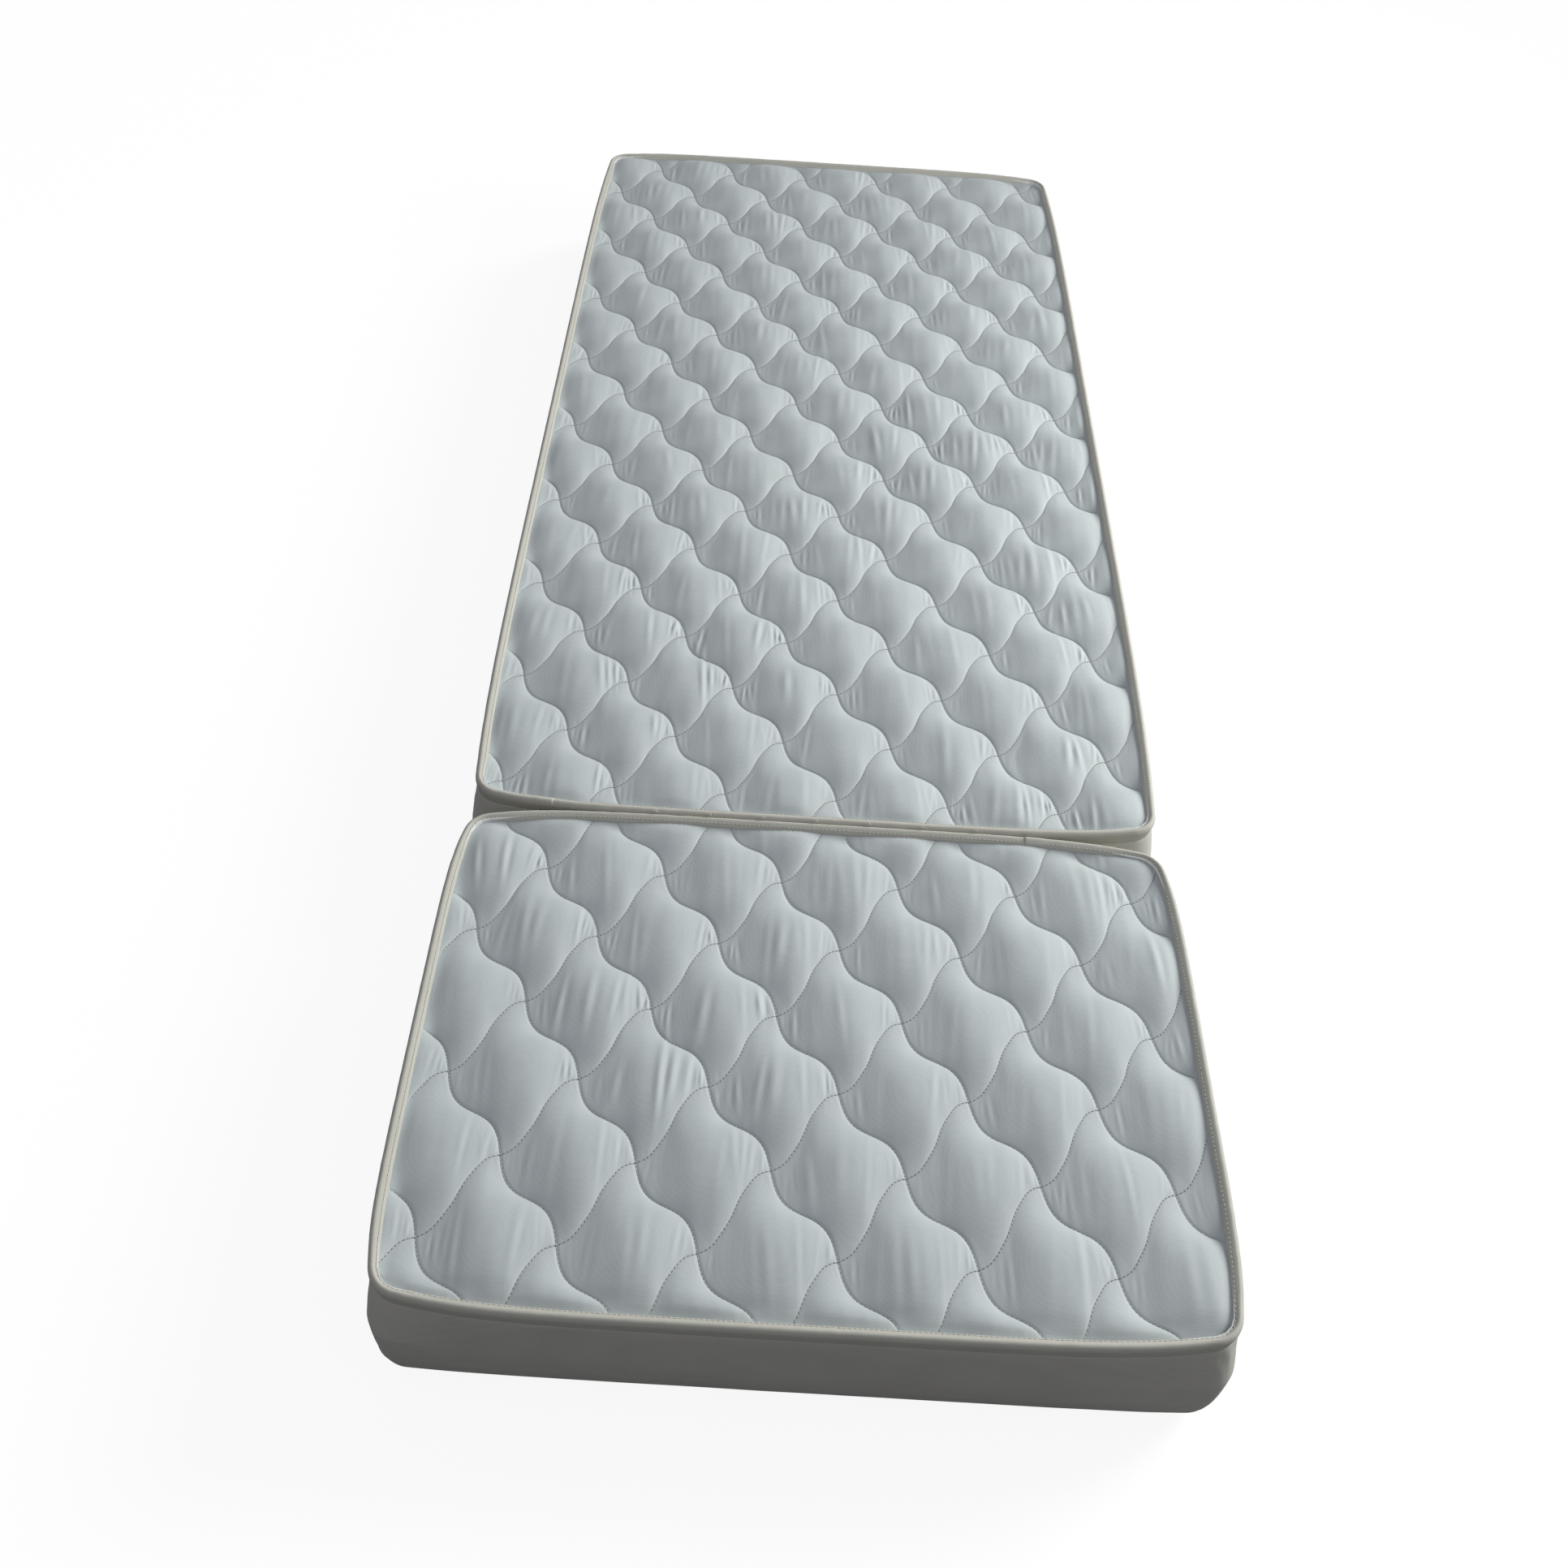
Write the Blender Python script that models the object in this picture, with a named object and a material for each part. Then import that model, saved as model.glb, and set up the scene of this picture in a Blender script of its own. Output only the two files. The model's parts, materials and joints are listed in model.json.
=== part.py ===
"""A foam mattress in two sections: quilted tops, plain padded borders, taped edges and a tacked fold line.

Metres, +Z up. X runs across the mattress and Y along it, with the long section towards +Y. The origin is the
centre of the underside.
"""

import math
from collections import namedtuple

import bmesh
import bpy
from mathutils import Matrix, Vector

# Overall sizes, over the taped edges
WIDTH = 0.600
LONG_LENGTH = 1.200
SHORT_LENGTH = 0.450
THICKNESS = 0.120

# Spaces between pieces that touch, and between the two taped edges that meet
CLEARANCE = 0.0003
MEETING_GAP = 0.0003

# Plan shape: every taped edge bows out to its middle and draws back towards the round corners. The body below
# the tape is held out by the foam, so its corners are fuller.
CORNER_RADIUS = 0.025
TIGHTEST_CORNER = 0.003
END_FALL = 0.010
SIDE_FALL = 0.007
BOW_POWER = 6
END_STEP_SHARES = (0.0, 0.5, 0.72, 0.88)
SIDE_STEP_SHARES = (0.0, 0.65, 0.87)
CORNER_STEPS = 3
BODY_FULLNESS_SHARE = 0.8

# The padded cloth of the border and the underside: ticking outside, wadding, thin backing inside
TICKING = 0.0012
WADDING = 0.003
BACKING = 0.0006

# The border wall, which rounds under to a flat hem
BOTTOM_ROUND = 0.026
BOTTOM_ROUND_STEPS = 3
BORDER_BULGE = 0.0012
BULGE_STEP_SHARES = (0.5,)
UNDER_HEM = 0.003
SEAM_WIDTH = 0.0025

# The binding tape over the top edge
TAPE = 0.0012
TAPE_SHOULDER = 0.003
TAPE_OUTER_LEG = 0.014

# The quilted top: its crests lie just under the tape, and its stitched channels sink from there
CREST_DROP = 0.0005
PUFF_HEIGHT = 0.010
CHANNEL_CLOTH = 0.0015
TOP_WADDING = 0.004
EDGE_ROLL = 0.016

# The quilting: two families of waves that cross at stitched points, half a column and one row apart
QUILT_COLUMN = 0.0961
QUILT_ROW = 0.0664
LONG_FIRST_COLUMN = 0.0297
SHORT_FIRST_COLUMN = 0.0331
LONG_FIRST_ROW = 0.0374
SHORT_FIRST_ROW = 0.0610
ALONG_WAVE_SHARE = 0.52
ACROSS_WAVE_SHARE = 0.38
PUFF_POWER = 0.6
STEPS_PER_CELL = 3

# The thread tacks that join the two tapes where they meet
TACK_COUNT = 7
TACK_SPACING = 0.045
TACK_LENGTH = 0.004
TACK_SEGMENTS = 8
TACK_RINGS = 6

# Where the strips start and end, across the mattress from its middle
LONG_TAPE_END = -0.237
SHORT_TAPE_END = 0.190

# How far a cutter runs past what it cuts
OVERRUN = 0.005

# Colour and roughness of each finish
FINISHES = {
    "quilted_ticking": ((0.50, 0.54, 0.55), 0.85),
    "plain_ticking": ((0.48, 0.47, 0.43), 0.85),
    "tape": ((0.58, 0.57, 0.50), 0.75),
    "wadding": ((0.93, 0.93, 0.92), 0.95),
    "backing": ((0.88, 0.88, 0.86), 0.90),
    "foam": ((0.93, 0.90, 0.80), 0.95),
    "thread": ((0.62, 0.62, 0.59), 0.60),
}

# Insets from the taped edge, and heights above the floor, that several pieces share
BORDER_INSET = TAPE + CLEARANCE
WADDING_DEPTH = TICKING + CLEARANCE
BACKING_DEPTH = WADDING_DEPTH + WADDING + CLEARANCE
CORE_DEPTH = BACKING_DEPTH + BACKING + CLEARANCE
CORE_INSET = BORDER_INSET + CORE_DEPTH
TAPE_WIDTH = CORE_INSET + TAPE
PANEL_INSET = TAPE_WIDTH + CLEARANCE
HEM_INSET = BORDER_INSET + BOTTOM_ROUND + UNDER_HEM
SEAM_INSET = HEM_INSET + CLEARANCE
BOTTOM_PANEL_INSET = SEAM_INSET + SEAM_WIDTH + CLEARANCE
LEG_BOTTOM = THICKNESS - TAPE_OUTER_LEG
BORDER_TOP = THICKNESS - TAPE_SHOULDER - CLEARANCE
CHANNEL_HEIGHT = THICKNESS - CREST_DROP - PUFF_HEIGHT
PANEL_UNDERSIDE = CHANNEL_HEIGHT - CHANNEL_CLOTH
TOP_WADDING_TOP = PANEL_UNDERSIDE - CLEARANCE
TOP_BACKING_TOP = TOP_WADDING_TOP - TOP_WADDING - CLEARANCE
CORE_TOP = TOP_BACKING_TOP - BACKING - CLEARANCE
BULGE_HEIGHTS = [BOTTOM_ROUND + share * (LEG_BOTTOM - BOTTOM_ROUND) for share in BULGE_STEP_SHARES]

# The fold: an axis along X, over the middle of the meeting gap and just above the tapes
TOTAL_LENGTH = LONG_LENGTH + MEETING_GAP + SHORT_LENGTH
FOLD_Y = SHORT_LENGTH + MEETING_GAP / 2 - TOTAL_LENGTH / 2
FOLD_Z = THICKNESS + CLEARANCE

Section = namedtuple("Section", "name length centre_y first_column first_row tape_end_x tape_end_side carrier")
Plan = namedtuple("Plan", "end_fall side_fall radius")


def clear_scene():
    for obj in list(bpy.data.objects):
        bpy.data.objects.remove(obj, do_unlink=True)


def new_collection(name):
    collection = bpy.data.collections.new(name)
    bpy.context.scene.collection.children.link(collection)
    return collection


def new_material(name, finish):
    colour, roughness = FINISHES[finish]
    material = bpy.data.materials.new(name)
    material.use_nodes = True
    shader = material.node_tree.nodes["Principled BSDF"]
    shader.inputs["Base Color"].default_value = (*colour, 1)
    shader.inputs["Roughness"].default_value = roughness
    shader.inputs["Metallic"].default_value = 0
    return material


def mesh_data(name, bm):
    """The finished mesh, with its faces turned outwards."""
    bmesh.ops.recalc_face_normals(bm, faces=bm.faces)
    mesh = bpy.data.meshes.new(name)
    bm.to_mesh(mesh)
    bm.free()
    return mesh


def add_piece(name, data, finish, section, height=0):
    """A named piece of a section, placed on the section and carried by its hinge where it has one."""
    piece = bpy.data.objects.new(name, data)
    parts.objects.link(piece)
    data.materials.append(new_material(name, finish))
    piece.location = (0, section.centre_y, height)
    if section.carrier:
        piece.parent = section.carrier
        piece.location -= section.carrier.location
    return piece


# Plan outlines
def plan_at(inset, height):
    """The plan shape at an inset and a height: fuller at the body than at the tape, with its corners kept round."""
    fullness = min(max((LEG_BOTTOM - height) / (LEG_BOTTOM - BULGE_HEIGHTS[-1]), 0), 1)
    kept = 1 - fullness * BODY_FULLNESS_SHARE
    return Plan(END_FALL * kept, SIDE_FALL * kept, max(CORNER_RADIUS, inset + TIGHTEST_CORNER))


def bow_angle(fall, straight):
    """How far an edge has turned where its round corner begins."""
    return math.atan(fall * BOW_POWER / straight)


def corner_arc(length, plan):
    """The centre of a section's round corner, and the outward angles, from +Y, where the arc starts and ends."""
    start = bow_angle(plan.end_fall, WIDTH / 2 - plan.radius)
    end = math.pi / 2 - bow_angle(plan.side_fall, length / 2 - plan.radius)
    x = WIDTH / 2 - plan.side_fall - plan.radius * math.sin(end)
    y = length / 2 - plan.end_fall - plan.radius * math.cos(start)
    return Vector((x, y)), start, end


def bow_reaches(length, plan):
    """Half the width and half the length over which the edges bow, up to where the round corners begin."""
    centre, start, end = corner_arc(length, plan)
    return centre.x + plan.radius * math.sin(start), centre.y + plan.radius * math.cos(end)


def bow(fall, reach, share):
    """How far an edge has drawn back, and its slope, at a share of the way from its middle to its corner."""
    return fall * share**BOW_POWER, fall * BOW_POWER / reach * share ** (BOW_POWER - 1)


def quarter_outline(length, plan):
    """Points and outward directions on a quarter of the edge, from the middle of an end to that of a side."""
    centre, start, end = corner_arc(length, plan)
    end_reach, side_reach = bow_reaches(length, plan)
    steps = []
    for share in END_STEP_SHARES:
        drawn_back, slope = bow(plan.end_fall, end_reach, share)
        point = Vector((share * end_reach, length / 2 - drawn_back))
        steps.append((point, Vector((slope, 1)).normalized()))
    for step in range(CORNER_STEPS + 1):
        angle = start + (end - start) * step / CORNER_STEPS
        outward = Vector((math.sin(angle), math.cos(angle)))
        steps.append((centre + plan.radius * outward, outward))
    for share in reversed(SIDE_STEP_SHARES):
        drawn_back, slope = bow(plan.side_fall, side_reach, share)
        point = Vector((WIDTH / 2 - drawn_back, share * side_reach))
        steps.append((point, Vector((1, slope)).normalized()))
    return steps


def outline(length, inset, height):
    """The section's plan outline at an inset and a height, counter-clockwise from the right side."""
    plan = plan_at(inset, height)
    quarter = [point - inset * outward for point, outward in quarter_outline(length, plan)]
    right_rear = [(point.x, point.y) for point in reversed(quarter)]
    left_rear = [(-point.x, point.y) for point in quarter[1:]]
    left_front = [(-point.x, -point.y) for point in reversed(quarter[:-1])]
    right_front = [(point.x, -point.y) for point in quarter[1:-1]]
    return right_rear + left_rear + left_front + right_front


# Ways to make a piece
def add_wall(bm, low, low_next, high, high_next):
    """Two triangles, split the same way in every layer so that the gaps between layers stay even."""
    bm.faces.new((low, low_next, high_next))
    bm.faces.new((low, high_next, high))


def sweep_strip(name, section, profile, finish, joint_x, joint_side):
    """A strip sewn into a loop: a closed profile of insets and heights, swept round from where its ends meet."""
    rings = [outline(section.length, inset, height) for inset, height in profile]
    count = len(rings[0])
    joint = Vector((joint_x, joint_side * section.length / 2))
    start = min(range(count), key=lambda i: (Vector(rings[0][i]) - joint).length)
    bm = bmesh.new()
    columns = []
    for i in [(start + step) % count for step in range(count + 1)]:
        column = [bm.verts.new((*ring[i], height)) for ring, (inset, height) in zip(rings, profile)]
        columns.append(column)
    for first, second in zip(columns[0], columns[1]):
        first.co += (second.co - first.co).normalized() * CLEARANCE
    for column, following in zip(columns, columns[1:]):
        for k in range(len(profile)):
            low, high = sorted((k, (k + 1) % len(profile)), key=lambda i: profile[i][1])
            add_wall(bm, column[low], following[low], column[high], following[high])
    bm.faces.new(columns[0])
    bm.faces.new(columns[-1])
    return add_piece(name, mesh_data(name, bm), finish, section)


def loft_block(name, section, profile, finish):
    """A solid block: outlines at the profile's insets and heights, joined from the bottom to the top."""
    bm = bmesh.new()
    rings = []
    for inset, height in profile:
        rings.append([bm.verts.new((x, y, height)) for x, y in outline(section.length, inset, height)])
    for ring, upper in zip(rings, rings[1:]):
        for i in range(len(ring)):
            i_next = (i + 1) % len(ring)
            add_wall(bm, ring[i], ring[i_next], upper[i], upper[i_next])
    bm.faces.new(rings[0])
    bm.faces.new(rings[-1])
    return add_piece(name, mesh_data(name, bm), finish, section)


def flat_curve(name, length, inset, height, thickness):
    """The outline at a height as a flat shape with a thickness, centred on its own middle height."""
    curve = bpy.data.curves.new(name, "CURVE")
    curve.dimensions = "2D"
    curve.fill_mode = "BOTH"
    curve.extrude = thickness / 2
    points = outline(length, inset, height)
    spline = curve.splines.new("POLY")
    spline.points.add(len(points) - 1)
    for control, (x, y) in zip(spline.points, points):
        control.co = (x, y, 0, 1)
    spline.use_cyclic_u = True
    return curve


def cut_sheet(name, section, inset, top, thickness, finish):
    """A flat sheet cut to the section's outline, hung below its top height."""
    curve = flat_curve(name, section.length, inset, top, thickness)
    return add_piece(name, curve, finish, section, top - thickness / 2)


# The quilted top
def quilt_point(section, along, across):
    """Plan position of a place on the quilting, counted in cells along each of the two wave families."""
    along_wave = ALONG_WAVE_SHARE * math.sin(2 * math.pi * along) / (2 * math.pi)
    across_wave = ACROSS_WAVE_SHARE * math.sin(2 * math.pi * across) / (2 * math.pi)
    half_columns = 1 + along - across - along_wave - across_wave
    rows = along + across + along_wave - across_wave
    x = section.first_column + half_columns * QUILT_COLUMN / 2 - WIDTH / 2
    y = section.length / 2 - section.first_row - rows * QUILT_ROW
    return x, y


def inside_edge(section, x, y):
    """How far a place lies inside the edge of the top panel; negative outside it."""
    end_reach, side_reach = bow_reaches(section.length, plan_at(PANEL_INSET, THICKNESS))
    end_back, slope = bow(END_FALL, end_reach, min(abs(x) / end_reach, 1))
    side_back, slope = bow(SIDE_FALL, side_reach, min(abs(y) / side_reach, 1))
    from_side = WIDTH / 2 - side_back - abs(x)
    from_end = section.length / 2 - end_back - abs(y)
    return min(from_side, from_end) - PANEL_INSET


def quilt_height(section, along, across, x, y):
    """Height of the cloth: crests between the stitch lines, drawn down along them and towards the tape."""
    puff = abs(math.sin(math.pi * along) * math.sin(math.pi * across)) ** PUFF_POWER
    roll = min(max(inside_edge(section, x, y) / EDGE_ROLL, 0), 1)
    return CHANNEL_HEIGHT + PUFF_HEIGHT * puff * math.sqrt(roll)


def quilt_cells(section):
    """The first and last cell along each wave family that together cover the panel."""
    last_half_column = (WIDTH - section.first_column) / (QUILT_COLUMN / 2) + 1
    first_half_column = -section.first_column / (QUILT_COLUMN / 2) - 1
    first_row = -section.first_row / QUILT_ROW - 1
    last_row = (section.length - section.first_row) / QUILT_ROW + 1
    along = ((first_row + first_half_column - 1) / 2, (last_row + last_half_column - 1) / 2)
    across = ((first_row - last_half_column + 1) / 2, (last_row - first_half_column + 1) / 2)
    return [(math.floor(low), math.ceil(high)) for low, high in (along, across)]


def quilted_slab(section):
    """The quilted cloth before it is cut to the outline: a grid laid on the waves, with a flat underside."""
    (along_low, along_high), (across_low, across_high) = quilt_cells(section)
    along_count = along_high - along_low
    across_count = across_high - across_low
    bm = bmesh.new()
    bmesh.ops.create_grid(
        bm,
        x_segments=along_count * STEPS_PER_CELL,
        y_segments=across_count * STEPS_PER_CELL,
        size=1,
    )
    for vert in bm.verts:
        along = along_low + along_count * (vert.co.x + 1) / 2
        across = across_low + across_count * (vert.co.y + 1) / 2
        x, y = quilt_point(section, along, across)
        vert.co = (x, y, quilt_height(section, along, across, x, y))
    rim = [edge for edge in bm.edges if edge.is_boundary]
    skirt = bmesh.ops.extrude_edge_only(bm, edges=rim)["geom"]
    for vert in skirt:
        if isinstance(vert, bmesh.types.BMVert):
            vert.co.z = PANEL_UNDERSIDE
    hem = [edge for edge in skirt if isinstance(edge, bmesh.types.BMEdge) and edge.is_boundary]
    bmesh.ops.contextual_create(bm, geom=hem)
    return bm


def panel_cutter(section):
    """The prism that cuts the quilted cloth to the outline inside the tape."""
    thickness = THICKNESS - PANEL_UNDERSIDE + 2 * OVERRUN
    curve = flat_curve("panel_outline", section.length, PANEL_INSET, THICKNESS, thickness)
    outline_object = bpy.data.objects.new("panel_outline", curve)
    cutters.objects.link(outline_object)
    bpy.context.view_layer.update()
    graph = bpy.context.evaluated_depsgraph_get()
    mesh = bpy.data.meshes.new_from_object(outline_object.evaluated_get(graph))
    bpy.data.objects.remove(outline_object, do_unlink=True)
    bm = bmesh.new()
    bm.from_mesh(mesh)
    bmesh.ops.remove_doubles(bm, verts=bm.verts, dist=CLEARANCE / 10)
    bpy.data.meshes.remove(mesh)
    name = section.name + "_panel_cutter"
    cutter = bpy.data.objects.new(name, mesh_data(name, bm))
    cutters.objects.link(cutter)
    cutter.location = (0, section.centre_y, (THICKNESS + PANEL_UNDERSIDE) / 2)
    if section.carrier:
        cutter.parent = section.carrier
        cutter.location -= section.carrier.location
    cutter.hide_render = True
    cutter.display_type = "WIRE"
    return cutter


def quilted_panel(section):
    name = section.name + "_top_ticking"
    panel = add_piece(name, mesh_data(name, quilted_slab(section)), "quilted_ticking", section)
    cut = panel.modifiers.new("cut_to_outline", "BOOLEAN")
    cut.operation = "INTERSECT"
    cut.solver = "EXACT"
    cut.object = panel_cutter(section)
    return panel


# The border, which rounds under at the bottom
def wall_line(depth, top):
    """Insets and heights up the border wall at a depth below its outer face, from the hem to its top."""
    centre = BORDER_INSET + BOTTOM_ROUND
    radius = BOTTOM_ROUND - depth
    line = []
    for step in range(BOTTOM_ROUND_STEPS + 1):
        angle = math.pi / 2 * step / BOTTOM_ROUND_STEPS
        inset = centre - radius * math.sin(angle)
        line.append((inset, BOTTOM_ROUND - radius * math.cos(angle)))
    for share, height in zip(BULGE_STEP_SHARES, BULGE_HEIGHTS):
        line.append((BORDER_INSET + depth - BORDER_BULGE * math.sin(math.pi * share), height))
    if top > LEG_BOTTOM:
        line.append((BORDER_INSET + depth, LEG_BOTTOM))
    line.append((BORDER_INSET + depth, top))
    return line


def border_layer(section, layer, depth, thickness, finish):
    """One layer of the padded border, a strip whose ends meet at the front left corner."""
    outer = [(HEM_INSET, depth)] + wall_line(depth, BORDER_TOP)
    inner = [(HEM_INSET, depth + thickness)] + wall_line(depth + thickness, BORDER_TOP)
    name = section.name + "_border_" + layer
    return sweep_strip(name, section, outer + inner[::-1], finish, -WIDTH / 2, -1)


def foam_core(section):
    """The foam block, which fills the cover from the bottom cloth to the top one."""
    return loft_block(section.name + "_foam_core", section, wall_line(CORE_DEPTH, CORE_TOP), "foam")


# The binding tape
def shoulder(centre_inset, centre_height, radius, side):
    """Three points of a rounded fold, from its leg to its top; the side is -1 at the outer leg."""
    points = []
    for angle in (0, math.pi / 4, math.pi / 2):
        inset = centre_inset + side * radius * math.cos(angle)
        points.append((inset, centre_height + radius * math.sin(angle)))
    return points


def edge_binding(section):
    """The folded tape over the joint of border and top panel, a strip whose ends meet on the fold side."""
    fold_height = THICKNESS - TAPE_SHOULDER
    inner_fold_inset = TAPE_WIDTH - TAPE_SHOULDER
    inside_radius = TAPE_SHOULDER - TAPE
    outer_face = [(0, LEG_BOTTOM)]
    outer_face += shoulder(TAPE_SHOULDER, fold_height, TAPE_SHOULDER, -1)
    outer_face += shoulder(inner_fold_inset, fold_height, TAPE_SHOULDER, 1)[::-1]
    outer_face += [(TAPE_WIDTH, PANEL_UNDERSIDE)]
    inner_face = [(TAPE, LEG_BOTTOM)]
    inner_face += shoulder(TAPE_SHOULDER, fold_height, inside_radius, -1)
    inner_face += shoulder(inner_fold_inset, fold_height, inside_radius, 1)[::-1]
    inner_face += [(TAPE_WIDTH - TAPE, PANEL_UNDERSIDE)]
    name = section.name + "_edge_binding"
    profile = outer_face + inner_face[::-1]
    return sweep_strip(name, section, profile, "tape", section.tape_end_x, section.tape_end_side)


# The cloth layers of the underside and of the top
def bottom_seam(section):
    """The overlocked seam between the border's hem and the underside's cloth."""
    inner = SEAM_INSET + SEAM_WIDTH
    profile = [(SEAM_INSET, 0), (SEAM_INSET, TICKING), (inner, TICKING), (inner, 0)]
    return sweep_strip(section.name + "_bottom_seam", section, profile, "thread", -WIDTH / 2, -1)


def bottom_panel(section):
    ticking_name = section.name + "_bottom_ticking"
    cut_sheet(ticking_name, section, BOTTOM_PANEL_INSET, TICKING, TICKING, "plain_ticking")
    layers = (("wadding", WADDING_DEPTH, WADDING), ("backing", BACKING_DEPTH, BACKING))
    for layer, bottom, thickness in layers:
        name = section.name + "_bottom_" + layer
        cut_sheet(name, section, SEAM_INSET, bottom + thickness, thickness, layer)


def top_layers(section):
    name = section.name + "_top_wadding"
    cut_sheet(name, section, CORE_INSET, TOP_WADDING_TOP, TOP_WADDING, "wadding")
    name = section.name + "_top_backing"
    cut_sheet(name, section, CORE_INSET, TOP_BACKING_TOP, BACKING, "backing")


def make_section(section):
    foam_core(section)
    border_layer(section, "ticking", 0, TICKING, "plain_ticking")
    border_layer(section, "wadding", WADDING_DEPTH, WADDING, "wadding")
    border_layer(section, "backing", BACKING_DEPTH, BACKING, "backing")
    bottom_seam(section)
    bottom_panel(section)
    top_layers(section)
    quilted_panel(section)
    edge_binding(section)


# The tacks along the fold
def tack_radius():
    """What fits in the groove between the two tape shoulders, turning on the fold axis without touching them."""
    shoulder_y = MEETING_GAP / 2 + TAPE_SHOULDER
    shoulder_z = FOLD_Z - (THICKNESS - TAPE_SHOULDER)
    return math.hypot(shoulder_y, shoulder_z) - TAPE_SHOULDER - CLEARANCE


def make_tacks():
    """Knots of thread that sew the two tapes together along the straight middle of the meeting edges."""
    for number in range(TACK_COUNT):
        name = f"tack_stitch_{number + 1}"
        bm = bmesh.new()
        bmesh.ops.create_uvsphere(bm, u_segments=TACK_SEGMENTS, v_segments=TACK_RINGS, radius=tack_radius())
        stretch = TACK_LENGTH / 2 / tack_radius()
        bmesh.ops.scale(bm, vec=(1, 1, stretch), verts=bm.verts)
        turn = Matrix.Rotation(math.pi / 2, 3, "Y")
        bmesh.ops.rotate(bm, matrix=turn, verts=bm.verts)
        data = mesh_data(name, bm)
        data.shade_smooth()
        tack = bpy.data.objects.new(name, data)
        parts.objects.link(tack)
        data.materials.append(new_material(name, "thread"))
        tack.location = ((number - (TACK_COUNT - 1) / 2) * TACK_SPACING, FOLD_Y, FOLD_Z)


clear_scene()
parts = new_collection("foam_mattress")
cutters = new_collection("cutters")

fold_axis = bpy.data.objects.new("fold_axis", None)
parts.objects.link(fold_axis)
fold_axis.location = (0, FOLD_Y, FOLD_Z)
fold_axis.empty_display_size = THICKNESS
bpy.context.view_layer.update()

long_centre_y = TOTAL_LENGTH / 2 - LONG_LENGTH / 2
short_centre_y = SHORT_LENGTH / 2 - TOTAL_LENGTH / 2
make_section(Section(
    "long", LONG_LENGTH, long_centre_y, LONG_FIRST_COLUMN, LONG_FIRST_ROW, LONG_TAPE_END, -1, None,
))
make_section(Section(
    "short", SHORT_LENGTH, short_centre_y, SHORT_FIRST_COLUMN, SHORT_FIRST_ROW, SHORT_TAPE_END, 1, fold_axis,
))
make_tacks()
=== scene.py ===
# %% [markdown]
# # A two-section foam mattress, dressed for its picture
# The mattress is two foam blocks in sewn covers that meet at a tacked fold. Each cover has a quilted top,
# a plain padded border, a plain underside and a tape bound over the top edge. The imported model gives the
# plain solids and says what moves. This lesson puts real cloth over those solids, one sewn piece at a time.

# %% The frame
import json
import math

import bmesh
import bpy
import numpy as np
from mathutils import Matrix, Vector, noise

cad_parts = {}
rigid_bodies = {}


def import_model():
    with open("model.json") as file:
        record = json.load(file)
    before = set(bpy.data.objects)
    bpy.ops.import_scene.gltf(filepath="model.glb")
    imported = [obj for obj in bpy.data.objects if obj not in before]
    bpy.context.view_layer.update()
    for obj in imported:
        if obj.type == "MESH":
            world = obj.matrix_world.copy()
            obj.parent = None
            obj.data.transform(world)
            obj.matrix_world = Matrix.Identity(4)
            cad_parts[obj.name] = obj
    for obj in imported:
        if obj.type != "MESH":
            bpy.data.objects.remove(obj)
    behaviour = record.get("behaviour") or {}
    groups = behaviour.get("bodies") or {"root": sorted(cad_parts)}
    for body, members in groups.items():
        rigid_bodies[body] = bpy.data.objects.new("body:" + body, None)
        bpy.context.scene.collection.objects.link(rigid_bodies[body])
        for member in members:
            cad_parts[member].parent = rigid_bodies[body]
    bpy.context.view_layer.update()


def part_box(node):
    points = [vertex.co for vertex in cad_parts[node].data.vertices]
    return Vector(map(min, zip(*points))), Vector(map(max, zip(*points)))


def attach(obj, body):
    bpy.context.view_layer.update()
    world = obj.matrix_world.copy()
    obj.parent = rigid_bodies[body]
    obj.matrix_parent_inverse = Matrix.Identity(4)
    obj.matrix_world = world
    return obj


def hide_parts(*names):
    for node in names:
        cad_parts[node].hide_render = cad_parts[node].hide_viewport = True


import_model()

# %% [markdown]
# ## The camera
# The picture was taken from the foot of the mattress, standing, with a normal lens. The place, the turn and
# the lens come from a fit of the quilting's stitched crossings and the silhouette, so the mattress fills the
# frame as in the photograph. A small shift moves the frame without changing the perspective.

# %% Camera
PICTURE_SIDE = 1932
FOCAL_PIXELS = 2005.97

camera_data = bpy.data.cameras.new("camera")
camera_data.sensor_width = 36
camera_data.lens = camera_data.sensor_width * FOCAL_PIXELS / PICTURE_SIDE
camera_data.shift_x = 0.0186
camera_data.shift_y = -0.0119
camera = bpy.data.objects.new("camera", camera_data)
bpy.context.scene.collection.objects.link(camera)
camera.location = (-0.06159, -1.29452, 1.14106)
camera.rotation_euler = (0.76367, -0.04602, 0.04017)
bpy.context.scene.camera = camera
bpy.context.scene.view_settings.view_transform = "Standard"
print("Lens", round(camera_data.lens, 1), "mm at", tuple(round(c, 2) for c in camera.location))

# %% [markdown]
# ## Light
# Daylight comes from the right and behind, rather low. It rakes across the quilting, which is what shows
# its puffs. A sun with a wide disc lights the whole length alike, and a lamp close by on the right makes
# the light fade towards the left, as it does beside a window. The sky only lifts the shaded sides. It is
# white for the camera and for reflections alone, so that the background is white and the cloth isn't washed
# out.

# %% Daylight, window and sky
DAYLIGHT_FROM = Vector((0.723, 0.506, 0.469))
DAYLIGHT_STRENGTH = 1.55
DAYLIGHT_DISC = math.radians(22)
WINDOW_PLACE = Vector((1.40, 0.05, 0.78))
WINDOW_AIM = Vector((0, 0, 0.12))
WINDOW_SIDE = 0.8
WINDOW_WATTS = 18.0
DAYLIGHT_COLOUR = (0.99, 1.0, 0.965)
SKY_STRENGTH = 0.46

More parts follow.
